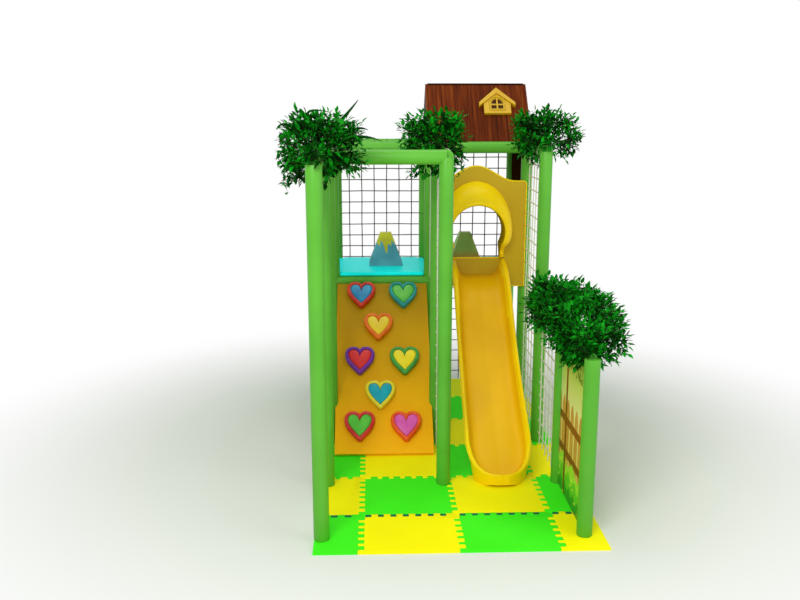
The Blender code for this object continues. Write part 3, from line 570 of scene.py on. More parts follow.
TALL = ("a1", "a2", "a3", "a4", "a5", "b2", "b3", "b4", "b5", "c3", "c4", "c5")
for post in TALL + ("c1", "c2"):
    sleeve("post_" + post, spot(post, MAT + GAP), spot(post, TOP if post in TALL else LOW))
RAILS = (
    ("top_rail_row_5", "a5", "c5", TOP),
    ("top_rail_left", "a1", "a5", TOP),
    ("top_rail_row_2", "a2", "b2", TOP),
    ("top_rail_middle", "b2", "b5", TOP),
    ("top_rail_right", "c3", "c5", TOP),
    ("top_rail_row_4_left", "a4", "b4", TOP),
    ("top_rail_row_4_right", "b4", "c4", TOP),
    ("low_rail_right", "c1", "c3", LOW),
    ("deck_rail_row_4_left", "a4", "b4", DECK),
    ("deck_rail_row_4_right", "b4", "c4", DECK),
    ("deck_rail_row_5_left", "a5", "b5", DECK),
    ("deck_rail_row_5_right", "b5", "c5", DECK),
)
for name, first, last, height in RAILS:
    start = spot(first, height)
    if first in ("a1", "c1"):
        knob(name, start.copy())
        start.y += 0.100
    sleeve(name, start, spot(last, height))
repaint(steel, "pipe_frame")


# Floor mats

MAT_X = (-0.845, -0.560, 0.043, 0.643, 0.920)
MAT_Y = (-1.781, -1.295, -0.695, -0.095, 0.505, 1.105, 1.653)
TOOTH = 0.040
CORNER = 0.022  # from a tile's corner to its first tooth


def tile_span(edges, index):
    """Where the teeth run along a tile's side: CORNER short of each neighbour's corner."""
    low, high = edges[index], edges[index + 1]
    return low + CORNER * (index > 0), high - CORNER * (index < len(edges) - 2)


def teeth(low, high):
    """How many teeth fit in a span, and how wide half of each pair is."""
    count = max(1, round((high - low) / (2 * TOOTH)))
    return count, (high - low) / (2 * count)


def toothed(line, span, side):
    """Points along a joint between two tiles: (place along, place across)."""
    points = []
    low, high = span
    count, wide = teeth(low, high)
    for step in range(2 * count):
        start = low + wide * step
        turn = 1 if step % 2 else -1
        across = line + turn * TOOTH / 2 + side * 0.0004
        lean = turn * 0.004
        first = start - (lean if step else 0)
        last = start + wide + (lean if step < 2 * count - 1 else 0)
        points += [(first, across), (last, across)]
    return points


def tile_outline(i, j):
    """A tile's outline: toothed towards its neighbours, straight along the outside."""
    left, right = MAT_X[i], MAT_X[i + 1]
    front, back = MAT_Y[j], MAT_Y[j + 1]
    wide, deep = tile_span(MAT_X, i), tile_span(MAT_Y, j)
    near = [(left + 0.0201 * (i > 0) + 0.0004, front), (right - 0.0201 * (i < 3), front)]
    near = toothed(front, wide, 1) if j else near
    side = toothed(right, deep, -1) if i < 3 else [(front, right), (back, right)]
    far = toothed(back, wide, -1) if j < 5 else [(left, back), (right, back)]
    other = toothed(left, deep, 1) if i else [(front, left), (back, left)]
    outline = near + [(x, y) for y, x in side] + far[::-1] + [(x, y) for y, x in other[::-1]]
    return [p for k, p in enumerate(outline) if not k or dist(p, outline[k - 1]) > 1e-4]


def make_mats():
    for j in range(6):
        for i in range(4):
            outline = tile_outline(i, j)
            form = bmesh.new()
            face = prism(form, [(x, y, MAT) for x, y in outline], [(x, y, 0.0) for x, y in outline])
            edges = list(face.edges)
            bmesh.ops.bevel(form, geom=edges, offset=0.0012, segments=2, profile=0.5, affect="EDGES")
            look = mat_yellow if (i + j) % 2 else mat_green
            corner = "floor_mats" if i == j == 0 else None
            from_bmesh(f"floor_tile_{i + 1}_{j + 1}", form, (look,), corner)
    form = bmesh.new()
    near, far = MAT_Y[1] - 0.0195, MAT_Y[1] + 0.013
    for i in range(4):
        low, high = tile_span(MAT_X, i)
        count, wide = teeth(low, high)
        for step in range(0, 2 * count, 2):
            left = low + wide * step + 0.001
            right = left + wide - 0.002
            corners = ((left, near), (right, near), (right, far), (left, far))
            upper = [(x, y, MAT + 0.0004) for x, y in corners]
            prism(form, upper, [(x, y, MAT - 0.001) for x, y in corners])
    slivers = from_bmesh("floor_joint_inlays", form, (mat_teal,), smooth=0)


make_mats()


# Deck pads and foam peaks

VOXEL = 0.007  # mesh size of the deck pads
MOST = 0.006  # how far a point of a cover may swell
PEAK_FOOT, PEAK_HEAD, PEAK_TALL = 0.1475, 0.0475, 0.28  # half widths and height of a foam peak


def swell(made, pressure, frames=20):
    """Blows a closed cover up with a short cloth simulation; returns its points before and after."""
    cloth = made.modifiers.new("cover", "CLOTH")
    assign(cloth.settings, quality=6, mass=0.3, bending_stiffness=2.0, shear_stiffness=20)
    assign(cloth.settings, tension_stiffness=40, compression_stiffness=40)
    assign(cloth.settings, use_pressure=True, uniform_pressure_force=pressure)
    cloth.settings.effector_weights.gravity = 0.0
    assign(cloth.point_cache, frame_start=1, frame_end=frames)
    scene = bpy.context.scene
    rest = [v.co.copy() for v in made.data.vertices]
    for number in range(1, frames + 1):
        scene.frame_set(number)
    graph = bpy.context.evaluated_depsgraph_get()
    result = made.evaluated_get(graph).to_mesh()
    moved = [v.co.copy() for v in result.vertices]
    made.evaluated_get(graph).to_mesh_clear()
    made.modifiers.remove(cloth)
    scene.frame_set(1)
    return rest, moved


def pad_outline(low_x, high_x, trim):
    """A pad's outline, with a notch round each of the four posts."""
    notch = SLEEVE + 0.0012
    front, back = 0.764, 1.596
    inner_front, inner_back = 0.8 + notch, 1.6 - notch
    left, right = low_x + 0.0012, high_x - trim
    low_in, high_in = low_x + notch, high_x - notch
    near = [(low_in, front), (high_in, front), (high_in, inner_front), (right, inner_front)]
    far = [(right, inner_back), (high_in, inner_back), (high_in, back), (low_in, back)]
    rest = [(low_in, inner_back), (left, inner_back), (left, inner_front), (low_in, inner_front)]
    return near + far + rest


def deck_pad(name, low_x, high_x, trim):
    """A vinyl-covered deck pad: flat below, slightly crowned, with soft edges."""
    bottom = DECK + SLEEVE + GAP
    outline = pad_outline(low_x, high_x, trim)
    form = bmesh.new()
    low = [(x, y, bottom + 0.0004) for x, y in outline]
    prism(form, low, [(x, y, PAD_TOP - 0.002) for x, y in outline])
    made = from_bmesh(name + "_cover", form, (cyan,), name, 0)
    voxel = VOXEL * 1
    assign(made.modifiers.new("skin", "REMESH"), mode="VOXEL", voxel_size=voxel)
    applied(made)
    for vertex, start, end in zip(made.data.vertices, *swell(made, 4.0)):
        shift = (end - start) * Vector((0.15, 0.25, 1.0))
        if shift.length > MOST:
            shift *= MOST / shift.length
        vertex.co = start + shift
        vertex.co.z = max(vertex.co.z, bottom + 0.0002)
    assign(made.modifiers.new("relax", "SMOOTH"), factor=0.6, iterations=4)
    made.data.shade_smooth()


deck_pad("deck_pad_left", -PITCH, 0.0, 0.0012)
deck_pad("deck_pad_right", 0.0, PITCH, 0.0085)


def foam_peak(name, centre, look):
    """A foam mountain in a sewn cover: a square block that narrows upwards, with piped edges."""
    form = bmesh.new()
    low_z = PAD_TOP + 2 * GAP
    halves = [PEAK_FOOT + (PEAK_HEAD - PEAK_FOOT) * level / 8 for level in range(9)]
    verts = []
    for level, half in enumerate(halves):
        belly = 0.003 * sin(pi * level / 8)
        height = low_z + PEAK_TALL * level / 8 - 0.0004
        for side in range(4):
            for step in range(6):
                share = step / 3 - 1
                x, y = share * half, -half - belly * (1 - share * share)
                for _ in range(side):
                    x, y = -y, x
                verts.append(form.verts.new((centre.x + x, centre.y + y, height)))
    for corners in quads(24, 9):
        form.faces.new([verts[k] for k in corners])
    form.faces.new(verts[23::-1])
    form.faces.new(verts[-24:])
    sharp = [e for e in form.edges if len(e.link_faces) == 2 and e.calc_face_angle(0) > 0.6]
    bmesh.ops.bevel(form, geom=sharp, offset=0.005, segments=3, profile=0.6, affect="EDGES")
    made = from_bmesh(name + "_cover", form, (look,), name, 50)
    seams = Tubes()
    for side_x in (-1, 1):
        for side_y in (-1, 1):
            path = []
            for step in range(13):
                part = step / 12
                half = PEAK_FOOT + (PEAK_HEAD - PEAK_FOOT) * part - 0.0016
                height = low_z + 0.004 + (PEAK_TALL - 0.008) * part
                path.append(centre + Vector((side_x * half, side_y * half, height)))
            seams.add(path, 0.0022, 6)
    seams.piece(name + "_piping", look)


left_peak = peak_look("peak_left", ("B4B020", "DEDC2A"), ("3F8EA0", "5AB0BE"), 1.385, 0.095, -0.36)
right_tones = ("B0D068", "C6E27C"), ("D09A34", "E4B048")
right_peak = peak_look("peak_right", *right_tones, 1.296, 0.0, 0.34, 0.2, 16.0)
foam_peak("foam_peak_left", Vector((-0.36, 1.22, 0)), left_peak)
foam_peak("foam_peak_right", Vector((0.34, 1.22, 0)), right_peak)


# Climbing ramp and holds


def tilted(slope):
    """Unit vectors up along and out from a surface that rises backwards at this angle."""
    return Vector((0, cos(slope), sin(slope))), Vector((0, -sin(slope), cos(slope)))


SLOPE = radians(46.26)
UP, OUT = tilted(SLOPE)
FOOT = Vector((-0.4, -0.305, MAT + GAP + 0.04 * cos(SLOPE) - 0.004))  # of the ramp's middle line
repaint(ramp_look, "climbing_ramp")
soften(nodes["climbing_ramp"], 0.0035, 3, 35)

# Name, place across and up the ramp, colours of the band, colours of the core
HOLDS = (
    ("heart_red_blue", -0.172, 1.389, ("B81E12", "E8401C"), ("1677B8", "2FA8C8")),
    ("heart_teal_green", 0.173, 1.386, ("0A7F80", "14A096"), ("3FAE3C", "6CC844")),
    ("heart_orange_yellow", -0.034, 1.084, ("D85A06", "F47A14"), ("E0C018", "F4D82E")),
    ("heart_purple_red", -0.184, 0.775, ("5E1E8E", "7A30B0"), ("C81C20", "E0302A")),
    ("heart_green_yellow", 0.170, 0.771, ("2E8A34", "44A848"), ("E2CC10", "F6E226")),
    ("heart_yellow_cyan", -0.026, 0.475, ("D4C418", "EADA30"), ("0090A4", "00A6B8")),
    ("heart_red_green", -0.185, 0.213, ("C41E20", "DC3832"), ("48B030", "62CC40")),
    ("heart_orange_pink", 0.168, 0.209, ("DC4608", "F45E18"), ("D04CA8", "E468BC")),
)
HEART_WIDE, HEART_TALL = 0.178, 0.196
HEART_ROUND = 0.028  # how far the sharp heart is grown outwards
HEART_DEEP = 0.056
HEART_COUNT = 96


def sharp_heart(fine=240):
    """The right half of a heart with a deep cleft, from the cleft down to the point."""
    core = []
    for step in range(fine + 1):
        turn = pi * step / fine
        rise = (13 * cos(turn) - 5 * cos(2 * turn) - 2 * cos(3 * turn)) / 29 + 0.07
        rise -= 0.17 * max(0.0, cos(1.8 * turn)) ** 2 if turn < 1 else 0.0
        core.append(Vector((sin(turn) ** 3 * HEART_WIDE / 2, rise * HEART_TALL)))
    return core


def grown(core, grow):
    """The half heart moved outwards by a distance, round its point."""
    half = []
    for step, place in enumerate(core):
        run = core[min(step + 1, len(core) - 1)] - core[max(step - 1, 0)]
        moved = place + Vector((-run.y, run.x)).normalized() * grow
        if moved.x >= 0:
            half.append(moved)
    low = half[-1]
    foot = core[-1]
    start = atan2(low.x - foot.x, foot.y - low.y)
    for step in range(1, 9):
        turn = start * (1 - step / 8)
        half.append(foot + Vector((sin(turn), -cos(turn))) * grow)
    return half


def heart_ring(core, inset):
    """Evenly spaced points of the outline at this distance inside the widest one."""
    grow = HEART_ROUND - inset
    half = grown(core, grow) if grow > 0 else [place * (1 + grow / 0.080) for place in core]
    half[0] = Vector((0.0, half[0].y))
    half[-1] = Vector((0.0, half[-1].y))
    travelled = lengths(half)
    side = []
    index = 1
    for step in range(HEART_COUNT // 2 + 1):
        aim = travelled[-1] * step / (HEART_COUNT // 2)
        while index < len(half) - 1 and travelled[index] < aim:
            index += 1
        side.append(between(half, travelled, index, aim))
    return side + [Vector((-place.x, place.y)) for place in reversed(side[1:-1])]


def heart_levels():
    """(inset, lift) from the ramp over the band's round edges, then from its groove over the core."""
    deep = HEART_DEEP
    band = [(0.004, 0.0006), (0.0, 0.010), (0.0, deep - 0.018)]
    for step in range(1, 7):
        turn = radians(15 * step)
        band.append((0.014 * (1 - cos(turn)), deep - 0.018 + 0.018 * sin(turn)))
    band.append((0.018, deep))
    for step in range(1, 5):
        turn = radians(22.5 * step)
        band.append((0.018 + 0.009 * sin(turn), deep - 0.009 + 0.009 * cos(turn)))
    band.append((0.0275, deep - 0.013))
    drops = ((0.0290, 0.0135), (0.0303, 0.009), (0.0335, 0.0058), (0.040, 0.0042), (0.060, 0.0028))
    return band, [(inset, deep - drop) for inset, drop in drops]


def heart(name, shift, climb, band_tones, core_tones):
    """A thick rounded ring round a raised heart."""
    centre = FOOT + X * shift + UP * climb
    band, core = heart_levels()
    count = HEART_COUNT
    outline = sharp_heart()
    points = []
    for inset, lift in band + core:
        points += [centre + X * p.x + UP * p.y + OUT * lift for p in heart_ring(outline, inset)]
    last = len(points) - count
    faces = quads(count, len(band + core), flip=True)
    picks = [0] * count * (len(band) - 1) + [1] * count * (len(core) + 1) + [0]
    hub = len(points)
    points.append(centre + OUT * (HEART_DEEP - 0.0022) + UP * 0.012)
    faces += [(last + step, hub, last + (step + 1) % count) for step in range(count)]
    faces.append(tuple(range(count)))
    looks = plain_gloss(name + "_band", *band_tones), plain_gloss(name + "_core", *core_tones)
    face_outward(add_piece(name + "_hold", points, faces, looks, picks, replaces=name, smooth=40))


for hold in HOLDS:
    heart(*hold)


# Slide

SLIDE_X = 0.4
START_Y = 0.8  # the posts' row where the slide starts
# (distance ahead of that row, height) along the middle of the bed
SLIDE_HEAD = ((0.0743, 1.206), (0.180, 1.197), (0.300, 1.135), (0.420, 1.030), (0.600, 0.838))
SLIDE_TAIL = ((0.850, 0.608), (1.110, 0.407), (1.370, 0.232), (1.560, 0.122), (1.655, 0.078), (1.700, 0.070))
SLIDE_LINE = SLIDE_HEAD + SLIDE_TAIL
BED_HALF = 0.230
FLARE = 0.012  # how much wider the foot is, each side
NOSE = 0.350  # length of the rounded nose
ACROSS = 48  # faces across the bed
RIM_HIGHLIGHT = 0.036  # width of the painted highlight along the rim, in a lighter yellow
# (distance from the edge, share of the rim's height)
RIM_TOP = ((0.0, 0.80), (0.009, 1.0), (0.026, 1.0))
RIM_SHAPE = (*RIM_TOP, (0.040, 0.62), (0.052, 0.20), (0.070, 0.045), (0.100, 0.0))
# (distance from the nose, height of the rim)
RIM_HEIGHT = ((0.0, 0.040), (0.10, 0.052), (0.42, 0.106))
FADE = ((0.0, 1.0), (0.05, 0.0))  # from whole to nothing over 50 mm


def curve_points(points, steps):
    """A smooth curve through the points."""
    ends = [points[0] * 2 - points[1], *points, points[-1] * 2 - points[-2]]
    path = []
    for index in range(1, len(ends) - 2):
        before, start, end, after = ends[index - 1 : index + 3]
        for step in range(steps):
            t = step / steps
            bend = (2 * before - 5 * start + 4 * end - after) * t * t
            twist = (3 * start - before - 3 * end + after) * t**3
            path.append((2 * start + (end - before) * t + bend + twist) / 2)
    path.append(points[-1])
    return path


def blend_steps(value, table):
    """Smooth interpolation in a short table of (place, value)."""
    if value <= table[0][0]:
        return table[0][1]
    for (start, low), (end, high) in zip(table, table[1:]):
        if value <= end:
            share = (value - start) / (end - start)
            share = share * share * (3 - 2 * share)
            return low + (high - low) * share
    return table[-1][1]


def slide_row(point, lift, travel, total):
    """One cross section: points of the upper skin, of the lower skin, and distances from the edge."""
    to_end = total - travel
    half = BED_HALF + FLARE * (travel / total) ** 4
    into = max(NOSE - to_end, 0.0) / NOSE
    wide = half * (1 - (0.985 * into) ** 2.15) ** 0.465
    rim = blend_steps(to_end, RIM_HEIGHT) + 0.030 * max(0.0, 1 - travel / 0.16) ** 2
    upper = []
    under = []
    nears = []
    for step in range(ACROSS + 1):
        v = sin(pi / 2 * (-1 + 2 * step / ACROSS)) * wide
        near = wide - abs(v)
        if to_end < NOSE:
            near = min(near, to_end + 0.25 * near)
        near = max(near, 0.0) * (1 - 0.32 * max(0.0, 1 - travel / 0.7))
        nears.append(near)
        rise = blend_steps(near, RIM_SHAPE) * rim - 0.004 * max(0.0, 1 - abs(v) / 0.13) ** 2
        place = point + X * v + lift * rise
        tuck = blend_steps(near, FADE)
        deep = point + X * v * (1 - 0.11 * tuck) - lift * (0.024 - 0.014 * tuck)
        if to_end < 0.19:
            seat = MAT + GAP + 0.018 * blend_steps(to_end, FADE)
            deep.z = seat if to_end < 0.15 else deep.z + (seat - deep.z) * (0.19 - to_end) / 0.04
        for skin, spot_now in ((upper, place), (under, deep)):
            spot_now.y = min(spot_now.y, START_Y - SLIDE_LINE[0][0])
            skin.append(spot_now)
    return upper, under, nears


def make_slide():
    """The chute: an upper and a lower skin, joined at the sides and ends."""
    line = curve_points([Vector((SLIDE_X, START_Y - ahead, z)) for ahead, z in SLIDE_LINE], 12)
    travelled = lengths(line)
    total = travelled[-1]
    stops = [total * step / 90 for step in range(81)]
    stops = [stop for stop in stops if stop < total - NOSE]
    stops += [total - NOSE * (1 - sin(pi / 2 * step / 30)) for step in range(31)]
    top = []
    bottom = []
    rims = []
    for travel in stops:
        index = max(next((k for k, t in enumerate(travelled) if t >= travel), len(line) - 1), 1)
        point = between(line, travelled, index, travel)
        along = (line[min(index + 2, len(line) - 1)] - line[max(index - 3, 0)]).normalized()
        upper, under, nears = slide_row(point, X.cross(-along), travel, total)
        top += upper
        bottom += under
        rims.append(nears)
    wide = ACROSS + 1
    base = len(top)
    faces = quads(wide, len(stops), wrap=False) + quads(wide, len(stops), wrap=False, flip=True, first=base)
    # Painted highlight: faces near the rim's edge take the lighter lemon yellow
    picks = [int(min(pair) < RIM_HIGHLIGHT) for row in rims[:-1] for pair in zip(row, row[1:])]
    picks += [0] * len(picks)
    last = base - wide
    for a in range(0, last, wide):
        b = a + ACROSS
        faces.append((a, a + wide, base + a + wide, base + a))
        faces.append((base + b, base + b + wide, b + wide, b))
    for c in range(ACROSS):
        faces.append((c, base + c, base + c + 1, c + 1))
        faces.append((last + c, last + c + 1, base + last + c + 1, base + last + c))
    # The side and end walls take the lemon yellow too, as part of the painted rim highlight
    picks += [1] * (len(faces) - len(picks))
    looks = (yellow, hood_look)
    face_outward(add_piece("slide_moulding", top + bottom, faces, looks, picks, replaces="slide", smooth=50))


make_slide()


# Hood panel

BACK_Y = 0.8 - SLEEVE - GAP
FRONT_Y = BACK_Y - 0.026
RIM_Y = BACK_Y - 0.225  # the hood's foremost line
SILL = 1.353  # 13 mm above the CAD's, as the photo shows
CROWN = 1.797  # top of the door
DOOR_X = 0.376
DOOR_HALF = 0.214
NECK_HALF = 0.196
LIP = 0.014  # radius of the hood's rolled lip
PANEL_X, PANEL_FOOT = 0.4, 1.102
SHOULDER = 1.955  # where the panel's side starts to round
CORNER_ROUND = 0.03


def keyhole(side, top, bottom, count=72, foot=12):
    """The opening's outline from its left foot over the arch to its right foot."""
    half, neck = DOOR_HALF + side, NECK_HALF + side
    centre = CROWN - DOOR_HALF
    reach = radians(118)
    arch = []
    for step in range(count + 1):
        turn = -reach + 2 * reach * step / count
        tall = CROWN + top - centre if abs(turn) < pi / 2 else half
        arch.append((half * sin(turn), centre + tall * cos(turn)))
    end, low = abs(arch[0][0]), arch[0][1]
    feet = []
    for step in range(foot):
        part = step / foot
        ease = part * part * (3 - 2 * part)
        feet.append((neck + (end - neck) * ease, bottom + (low - bottom) * part))
    return [(-across, height) for across, height in feet] + arch + feet[::-1]


def panel_edge(steps=56):
    """The panel's outline: straight sides, rounded shoulders and a wave over the top."""
    half = PITCH / 2 - 0.0053
    start = half - CORNER_ROUND
    side = [(half, PANEL_FOOT), (half, SHOULDER)]
    for step in range(1, 7):
        turn = radians(15 * step)
        side.append((start + CORNER_ROUND * cos(turn), SHOULDER + CORNER_ROUND * sin(turn)))
    wave = []
    for step in range(1, steps):
        across = start * (1 - 2 * step / steps)
        curl = (1 + cos(pi * min(abs(across + 0.024) / (half * 0.82), 1.0))) / 2
        wave.append((across, SHOULDER + CORNER_ROUND + 0.123 * curl))
    return side + wave + [(-across, height) for across, height in side[::-1]]


def slab(outline, shift, near, far):
    """A block with an upright outline, between two depths."""
    form = bmesh.new()
    places = [(shift + across, height) for across, height in outline]
    prism(form, [(x, near, z) for x, z in places], [(x, far, z) for x, z in places])
    bmesh.ops.recalc_face_normals(form, faces=form.faces)
    return form


def make_panel():
    """The panel with its door cut through and its edges rounded."""
    form = slab(panel_edge(), PANEL_X, FRONT_Y, BACK_Y)
    plate = from_bmesh("hood_plate", form, (panel_look,), "hood_panel")
    form = slab(keyhole(0.0, 0.0, SILL), DOOR_X, FRONT_Y - 0.05, BACK_Y + 0.05)
    tool = add_object("door_tool", new_mesh("door_tool"))
    form.to_mesh(tool.data)
    form.free()
    assign(plate.modifiers.new("door", "BOOLEAN"), operation="DIFFERENCE", object=tool)
    plain = applied(plate)
    bpy.data.objects.remove(tool)
    # Painted highlight: the panel's rounded edges take the lighter lemon yellow
    plain.materials.append(hood_look.made)
    soften(plate, 0.008, 4, 50, material=1)
    plain.shade_smooth()
    plain.set_sharp_from_angle(angle=radians(35))


def make_hood():
    """The bulge round the keyhole: a swept skin from the plate out to a rolled lip and back inside."""
    stations = []
    foot_y = FRONT_Y + 0.004
    for step in range(15):
        part = step / 14
        out = sin(part * pi / 2) ** 1.15
        shrink = 1 - part**1.7
        y = foot_y - (foot_y - RIM_Y - LIP) * out
        stations.append((2 * LIP + 0.060 * shrink, 2 * LIP + 0.156 * shrink, y))
    for step in range(1, 9):
        turn = radians(22.5 * step)
        reach = LIP + LIP * cos(turn)
        stations.append((reach, reach, RIM_Y + LIP - LIP * sin(turn)))
    inside = len(stations) - 3
    stations += [(0.0, 0.0, RIM_Y + 0.05), (0.0, 0.0, FRONT_Y + 0.012)]
    depths = ((SILL, 0.16), (SILL + 0.04, 0.34), (SILL + 0.15, 1.0))
    points = []
    for side, top, y in stations:
        row = keyhole(side, top, SILL)
        for across, height in row:
            depth = FRONT_Y + 0.002 + (y - FRONT_Y - 0.002) * blend_steps(height, depths)
            tuck = side * (1 - blend_steps(height, ((SILL, 0.50), (SILL + 0.17, 1.0))))
            points.append(Vector((DOOR_X + across - copysign(tuck, across), depth, height)))
    faces = quads(len(row), len(stations), wrap=False, flip=True)
    # From the lip inwards the faces take the darker copy of the yellow: painted shade inside the hood
    picks = [0] * inside * (len(row) - 1)
    picks += [1] * (len(faces) - len(picks))
    made = add_piece("hood_shell", points, faces, (hood_look, hood_inside_shade), picks, smooth=60)
    face_outward(made, close=True)


make_panel()
make_hood()


# Nets

STEP_ACROSS = PITCH / 7
STEP_UP = 0.1016
FIRST_ROW = 0.0974
ROPE = 0.0046  # radius of a net's rope
KNOT = ROPE * 1.75  # radius of the lump at a crossing
TIE = 0.0022  # radius of a tie
SLACK = 0.0015  # how far a crossing may be out of place
NET_FOOT = 0.022  # lowest end of the uprights


def rows_between(low, high):
    """Heights of a net's level ropes."""
    rows = []
    z = FIRST_ROW
    while z < high - 0.03:
        if z > low + 0.01:
            rows.append(z)
        z += STEP_UP
    return rows


def tie(tubes, centre, axis, count=28):
    """A tie wound once round a sleeve."""
    side = axis.orthogonal().normalized()
    path = circle(centre, side, axis.cross(side), SLEEVE + 0.0018, count)
    path = [point + axis * 0.004 * sin(around(count, step)) for step, point in enumerate(path)]
    tubes.add(path, TIE, 5, closed=True)


def net(name, post, along, length, low, high, out, offset, look, seed):
    """A knotted rope net: upright and level ropes with a lump at each crossing, tied to its frame."""
    inside = not offset  # between two posts, not along their outside
    rng = random.Random(seed)
    ropes = Tubes()
    ties = Tubes()
    start = spot(post, 0)
    columns = round(length / STEP_ACROSS)
    used = range(1, columns) if inside else range(columns + 1)
    rows = rows_between(low, high)
    base = start + out * offset
    lump = Vector(0.75 if abs(part) > 0.5 else 1.0 for part in out) * KNOT
    swing = 0.0035 * (1.0 if inside else 0.25)
    knots = {}
    for c in used:
        u = c * STEP_ACROSS
        for r, z in enumerate(rows):
            du, dz = rng.uniform(-SLACK, SLACK), rng.uniform(-SLACK, SLACK)
            sway = out * (swing * sin(5.1 * u + 2.3 * z + seed))
            knots[c, r] = base + along * (u + du) + Z * (z + dz) + sway
    for c in used:
        foot = base + along * c * STEP_ACROSS
        path = [foot + Z * low]
        for r in range(len(rows)):
            here = knots[c, r]
            path += [path[-1].lerp(here, 0.5), here]
            ropes.knot(here, lump)
        path.append(foot + Z * high)
        ropes.add(path, ROPE, 6)
    for r, z in enumerate(rows):
        path = [base + along * SLEEVE + Z * z] if inside else []
        for c in used:
            here = knots[c, r]
            if path:
                path.append(path[-1].lerp(here, 0.5))
            path.append(here)
        if inside:
            path.append(base + along * (length - SLEEVE) + Z * z)
        ropes.add(path, ROPE, 6)
    if name == "net_back":
        for r, z in enumerate(rows):
            for k in range(round(length / PITCH) + 1):
                if (r + k) % 4 == 0:
                    tie(ties, start + along * k * PITCH + Z * (z + 0.006), Z)
    for c in used:
        tie(ties, start + along * c * STEP_ACROSS + Z * (high + SLEEVE * inside), along)
    ropes.piece(name + "_ropes", look, name)
    ties.piece(name + "_ties", look)


OFFSET = SLEEVE + GAP + 0.005
UNDER = TOP - SLEEVE
# The back and left nets take the dark rope as painted shade; the others take the pale rope as painted light
net("net_back", "a5", X, 1.6, NET_FOOT, TOP, Y, OFFSET, rope, 1)
net("net_left", "a2", Y, 2.4, NET_FOOT, TOP, -X, OFFSET, rope, 2)
net("net_middle_front", "b2", Y, 0.8, NET_FOOT, UNDER, X, 0.0, lit_rope, 3)
net("net_middle_back", "b3", Y, 0.8, DECK + 0.05, UNDER, X, 0.0, lit_rope, 4)
net("net_right_low", "c2", Y, 0.8, NET_FOOT, LOW - SLEEVE, X, 0.0, lit_rope, 5)
net("net_right_high", "c3", Y, 0.8, NET_FOOT, UNDER, X, 0.0, lit_rope, 6)


# Roof, ornament, boards

ROOF_RUN, ROOF_RISE = 0.412, 0.466
BOARDS = ("roof_front_board", "roof_back_board")
GABLES = ("roof_left_gable", "roof_right_gable")
repaint(roof_wood, *BOARDS)
repaint(gable_wood, *GABLES)
repaint(wall_wood, "wood_wall_panel")
repaint(ornament_look, "roof_ornament")
repaint(printed_board(), "fence_panel")
for name in BOARDS + GABLES:
    soften(nodes[name], 0.0015, 2)
soften(nodes["roof_ornament"], 0.0035, 3, 40)
soften(nodes["fence_panel"], 0.0025, 3)


def ridge_cap():
    """A dark folded strip over the ridge."""
    low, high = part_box("roof_front_board")
    tubes = Tubes()
    wide = high.x - low.x - 0.04
    path = [Vector((low.x + 0.02 + wide * k / 10, 1.2, high.z - 0.004)) for k in range(11)]
    tubes.add(path, 0.010, 10)
    tubes.piece("roof_ridge_strip", edge_wood)


def ornament_window():
    """Dark panes in the ornament's window recesses, and a frame round them."""
    up, out = tilted(atan2(ROOF_RISE, ROOF_RUN))
    middle = Vector((0.573, 1.2, TOP + SLEEVE + GAP + ROOF_RISE)) - up * 0.340

    def places(outline, lift):
        return [middle + X * u + up * v + out * lift for u, v in outline]

    right = [(0.049, 0.049), (0.049, 0.118), (0.030, 0.146), (0.0, 0.158)]
    panes = places([(-0.049, 0.049)] + right + [(-u, v) for u, v in right[2:0:-1]], 0.0136)
    add_piece("roof_ornament_panes", panes, [tuple(range(len(panes)))], (pane_look,))
    right = [(0.064, 0.034), (0.064, 0.122), (0.052, 0.148), (0.028, 0.168), (0.0, 0.175)]
    trim = Tubes()
    ring = [(-0.064, 0.034)] + right + [(-u, v) for u, v in right[3:0:-1]]
    trim.add(places(ring, 0.0245), 0.0055, 8, closed=True)
    trim.piece("roof_ornament_frame", panel_look)


ridge_cap()
ornament_window()


# Shrubs

PROUD = 0.008  # how far past the CAD's box, across, a leaf may reach
# The third of these picks the darker leaf green, painted shade for leaves deep inside
LIGHTER, BLADE, INNER_SHADE = 1, 2, 3  # the looks after plain leaf green
LEAF_EDGE = ((0.38, 0.5, 0.20), (0.40, 0.0, 0.0), (0.38, -0.5, 0.20))
LEAF_TOP = ((0.74, 0.34, 0.08), (0.76, 0.0, -0.05), (0.74, -0.34, 0.08))
LEAF_POINTS = ((0.0, 0.0, 0.0), *LEAF_EDGE, *LEAF_TOP)  # shares of length, width and width
LEAF_FACES = ((0, 1, 2), (0, 2, 3), (1, 4, 5, 2), (2, 5, 6, 3), (4, 7, 5), (5, 7, 6))
LEVELS = 5  # leaves along a sprig, and one at its tip


def leaf_shape(points, faces, base, along, up, length, width):
    """One pointed leaf, folded along its middle."""
    side = along.cross(up).normalized()
    up = side.cross(along).normalized()
    first = len(points)
    points += [base + along * length * a + side * width * b + up * width * c for a, b, c in LEAF_POINTS]
    points.append(base + along * length - up * length * 0.10)
    faces += [tuple(first + corner for corner in face) for face in LEAF_FACES]


